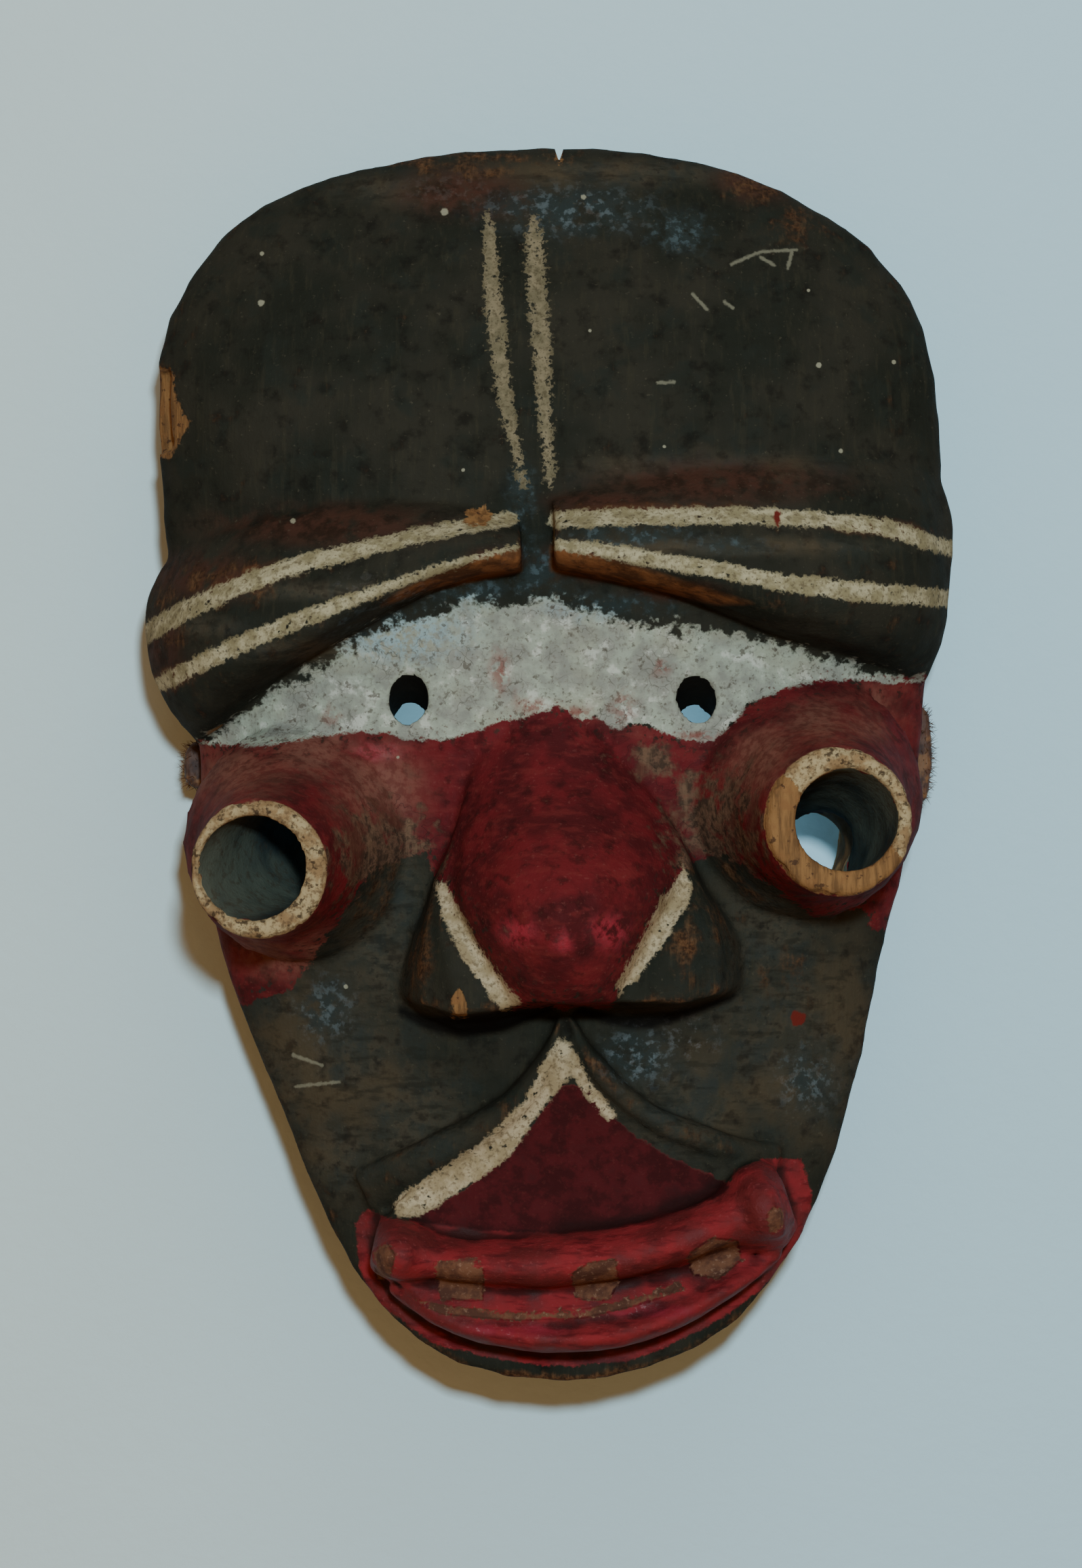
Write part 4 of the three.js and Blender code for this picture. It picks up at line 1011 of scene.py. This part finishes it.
class MASK_OT_wood(bpy.types.Operator):
    """Carve the surface of the mask and paint it"""

    bl_idname = "mask.wood"
    bl_label = "Painted wood"

    def execute(self, context):
        settings = context.scene.mask_wood
        made = remeshed(widened(bare_copy("mask", "carved_mask"), RIGHT_MOUTH), settings.voxel)
        surface = Surface(made.data)
        round_facets(surface, SMOOTHING_ROUNDS)
        carve(surface, settings)
        count = sum(len(face.vertices) - 2 for face in made.data.polygons)
        fewer = made.modifiers.new("fewer", "DECIMATE")
        fewer.ratio = min(1.0, settings.triangles / count)
        settled(made)
        surface = Surface(made.data)
        zones(surface)
        specks = []
        for x, y, reach in WHITE_SPECKS:
            place = on_face(surface, x, y)
            specks.append((place[0], place[1], reach * PIXEL * MM))
        scratches = []
        for ax, ay, bx, by in PALE_SCRATCHES:
            scratches.append((on_face(surface, ax, ay)[:2], on_face(surface, bx, by)[:2]))
        made.data.materials.append(paint_wood(settings, specks, scratches))
        made.data.shade_smooth()
        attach(made, "root")
        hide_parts("mask")
        return {"FINISHED"}


# Hide strips

class HideStrips(bpy.types.PropertyGroup):
    hairs: IntProperty(name="Hairs", description="Hairs for a square centimetre", default=90)
    hair_length: length("Hair length", "Mean length of a hair", 1.8)
    hair_radius: length("Hair radius", "Radius of a hair at its root", 0.1)
    hide: paint("Hide", "Colour of the hide", "#4a2c1a")


def hide_finish(settings):
    """Old brown leather, mottled darker and lighter, with dark fibres"""
    hide = Finish("hide")
    spots = hide.mottle(2.6, 4.0, seed=1.0)
    fibres = hide.mottle(0.7, 5.0, stretch=(1.0, 0.3, 1.0), seed=2.0)
    colour = hide.blend(hide.step(spots, 0.35, 0.65), settings.hide, "#2a150e")
    colour = hide.blend(hide.step(hide.mottle(5.0, 3.0, seed=3.0), 0.5, 0.62), colour, "#6e4a28")
    colour = hide.blend(hide.times(fibres, 0.5), colour, "#1c0f0a")
    rough = hide.sum("MULTIPLY_ADD", spots, 0.25, 0.6)
    return hide.finish(colour, rough, hide.times(fibres, 0.35))


def hair_finish():
    hair = Finish("hair")
    shade = hair.mottle(1.5, 2.0, seed=4.0)
    colour = hair.blend(shade, "#6a4426", "#24130c")
    return hair.finish(colour, hair.sum("MULTIPLY_ADD", shade, 0.2, 0.45), shade, 0.02 * MM)


def hair_tree():
    """Geometry nodes that set thin leaning hairs on a hide"""
    tree = bpy.data.node_groups.new("hairs on hide", "GeometryNodeTree")
    sockets = [
        ("Hide", "Geometry"), ("Density", "Float"), ("Length", "Float"), ("Radius", "Float"),
        ("Seed", "Int"), ("Material", "Material"),
    ]
    for name, kind in sockets:
        tree.interface.new_socket(name, in_out="INPUT", socket_type="NodeSocket" + kind)
    tree.interface.new_socket("Hairs", in_out="OUTPUT", socket_type="NodeSocketGeometry")

    given = add_node(tree, "NodeGroupInput", {}).outputs
    seed = given["Seed"]
    inputs = {"Mesh": given["Hide"], "Density": given["Density"], "Seed": seed}
    spread = add_node(tree, "GeometryNodeDistributePointsOnFaces", inputs, distribute_method="RANDOM")
    inputs = {"Vertices": 3, "Radius Bottom": given["Radius"], "Radius Top": 0.02 * MM}
    inputs["Depth"] = given["Length"]
    cone = add_node(tree, "GeometryNodeMeshCone", inputs, fill_type="NONE")
    inputs = {0: (-0.55, -0.9, -0.2), 1: (0.55, 0.9, 0.6), "Seed": seed}
    lean = add_node(tree, "FunctionNodeRandomValue", inputs, data_type="FLOAT_VECTOR")
    inputs = {0: spread.outputs["Normal"], 1: lean.outputs["Value"]}
    way = add_node(tree, "ShaderNodeVectorMath", inputs, operation="ADD")
    turn = add_node(tree, "FunctionNodeAlignRotationToVector", {"Vector": way.outputs[0]}, axis="Z")
    inputs = {2: 0.45, 3: 1.25, "Seed": seed}
    size = add_node(tree, "FunctionNodeRandomValue", inputs, data_type="FLOAT")
    inputs = {
        "Points": spread.outputs["Points"],
        "Instance": cone.outputs["Mesh"],
        "Rotation": turn.outputs["Rotation"],
        "Scale": size.outputs[1],
    }
    place = add_node(tree, "GeometryNodeInstanceOnPoints", inputs)
    real = add_node(tree, "GeometryNodeRealizeInstances", {"Geometry": place.outputs["Instances"]})
    inputs = {"Geometry": real.outputs["Geometry"], "Material": given["Material"]}
    finish = add_node(tree, "GeometryNodeSetMaterial", inputs)
    add_node(tree, "NodeGroupOutput", {"Hairs": finish.outputs["Geometry"]})
    return tree


def hairs_on(hide, name, side, settings, tree, material, seed):
    """Hairs on the part of a hide strip that stands out of the wall"""
    made = bpy.data.objects.new(name, hide.data.copy())
    bpy.context.scene.collection.objects.link(made)
    surface = Surface(made.data)
    reach = (surface.points[:, 0] * side).max()
    count = len(made.data.polygons)
    middles = np.empty(count * 3, dtype=np.float32)
    made.data.polygons.foreach_get("center", middles)
    keep = middles.reshape(-1, 3)[:, 0] * side > reach - HAIRY_END * MM
    shell = bmesh.new()
    shell.from_mesh(made.data)
    shell.faces.ensure_lookup_table()
    bmesh.ops.delete(shell, geom=[shell.faces[i] for i in range(count) if not keep[i]], context="FACES")
    shell.to_mesh(made.data)
    shell.free()
    grow = made.modifiers.new("hairs", "NODES")
    grow.node_group = tree
    given = {
        "Density": settings.hairs * 1e4,
        "Length": settings.hair_length,
        "Radius": settings.hair_radius,
        "Seed": seed,
        "Material": material,
    }
    for item in tree.interface.items_tree:
        if item.in_out == "INPUT" and item.name in given:
            grow[item.identifier] = given[item.name]
    settled(made)
    return made


class MASK_OT_hide(bpy.types.Operator):
    """Finish both hide strips and set their stiff hairs"""

    bl_idname = "mask.hide"
    bl_label = "Hide strips"

    def execute(self, context):
        settings = context.scene.hide_strips
        leather = hide_finish(settings)
        bristle = hair_finish()
        tree = hair_tree()
        for side, which, seed in ((-1, "left", 3), (1, "right", 8)):
            node = which + "_hide_strip"
            made = remeshed(bare_copy(node, which + "_hide"), 0.35 * MM)
            surface = Surface(made.data)
            surface.place(surface.spread(surface.points, 12, 0.5))
            surface.push(0.3 * MM * lumps(surface.points, 3, seed) + 0.05 * MM)
            made.data.materials.append(leather)
            made.data.shade_smooth()
            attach(made, "root")
            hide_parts(node)
            hairs = hairs_on(made, which + "_hairs", side, settings, tree, bristle, seed)
            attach(hairs, "root")
        return {"FINISHED"}


# Floor, lights and camera

class Studio(bpy.types.PropertyGroup):
    floor_colour: paint("Floor", "Colour of the floor", "#aec0bf")
    key_power: FloatProperty(name="Key light", description="Power of the light in front", default=22.0)
    top_power: FloatProperty(name="Top light", description="Power of the light over the crown", default=3.0)
    glow_power: FloatProperty(name="Glow", description="Power of the light in the hollow", default=0.035)
    sky: FloatProperty(name="Sky", description="Strength of the light from all round", default=0.53)


def area_light(name, place, size, power, colour):
    data = bpy.data.lights.new(name, "AREA")
    data.size = size
    data.energy = power
    data.color = colour
    made = bpy.data.objects.new(name, data)
    made.location = place
    aim = Vector((0, 0, -0.02)) - made.location
    made.rotation_euler = aim.to_track_quat("-Z", "Y").to_euler()
    bpy.context.scene.collection.objects.link(made)


class MASK_OT_stage(bpy.types.Operator):
    """Lay out the floor, the lights and the camera"""

    bl_idname = "mask.stage"
    bl_label = "Stage"

    def execute(self, context):
        settings = context.scene.mask_studio
        mesh = bpy.data.meshes.new("floor")
        half = 4.0
        corners = [(-half, -half, 0), (half, -half, 0), (half, half, 0), (-half, half, 0)]
        mesh.from_pydata(corners, [], [(0, 1, 2, 3)])
        floor = bpy.data.objects.new("floor", mesh)
        context.scene.collection.objects.link(floor)
        finish = Finish("floor")
        paler = [min(1.0, 1.06 * v) for v in settings.floor_colour]
        colour = finish.blend(finish.mottle(60.0, 3.0), settings.floor_colour, paler)
        # Painted light: the floor turns bluer towards +x, as if bluer light fell on that side
        across = finish.node("ShaderNodeSeparateXYZ", {0: finish.place}).outputs[0]
        colour = finish.blend(finish.step(across, -0.2, 0.16), colour, "#a2c4d0")
        grit = finish.mottle(4.0, 4.0, seed=2.0)
        rough = finish.sum("MULTIPLY_ADD", grit, 0.1, 0.75)
        mesh.materials.append(finish.finish(colour, rough, grit, 0.25 * MM))

        area_light("key", (0.07, 0.19, 1.35), 0.07, settings.key_power, (0.68, 0.89, 1.0))
        area_light("top", (0.2, 1.05, 0.85), 0.7, settings.top_power, (0.78, 0.9, 1.0))
        area_light("glow in the hollow", (0.0, -0.01, 0.03), 0.09, settings.glow_power, (0.5, 0.82, 1.0))
        world = bpy.data.worlds.new("studio")
        world.use_nodes = True
        sky = world.node_tree.nodes["Background"]
        sky.inputs["Color"].default_value = (1.0, 0.52, 0.22, 1)
        sky.inputs["Strength"].default_value = settings.sky
        context.scene.world = world

        data = bpy.data.cameras.new("camera")
        data.sensor_fit = "VERTICAL"
        data.sensor_height = 36.0
        data.lens = FOCAL_LENGTH * data.sensor_height / FRAME_HEIGHT
        camera = bpy.data.objects.new("camera", data)
        camera.location = CAMERA_PLACE
        context.scene.collection.objects.link(camera)
        context.scene.camera = camera
        return {"FINISHED"}


class MASK_PT_parts(bpy.types.Panel):
    bl_label = "Tube-eyed mask"
    bl_space_type = "VIEW_3D"
    bl_region_type = "UI"
    bl_category = "Mask"

    def draw(self, context):
        for name in ("mask_wood", "hide_strips", "mask_studio"):
            settings = getattr(context.scene, name)
            for key in settings.bl_rna.properties.keys():
                if key not in ("rna_type", "name"):
                    self.layout.prop(settings, key)
        for operator in (MASK_OT_wood, MASK_OT_hide, MASK_OT_stage):
            self.layout.operator(operator.bl_idname)


CLASSES = (MaskWood, HideStrips, Studio, MASK_OT_wood, MASK_OT_hide, MASK_OT_stage, MASK_PT_parts)


def register():
    for made in CLASSES:
        bpy.utils.register_class(made)
    bpy.types.Scene.mask_wood = PointerProperty(type=MaskWood)
    bpy.types.Scene.hide_strips = PointerProperty(type=HideStrips)
    bpy.types.Scene.mask_studio = PointerProperty(type=Studio)


def unregister():
    del bpy.types.Scene.mask_studio
    del bpy.types.Scene.hide_strips
    del bpy.types.Scene.mask_wood
    for made in reversed(CLASSES):
        bpy.utils.unregister_class(made)


def main():
    register()
    bpy.ops.mask.stage()
    bpy.ops.mask.wood()
    bpy.ops.mask.hide()


if __name__ == "__main__":
    main()
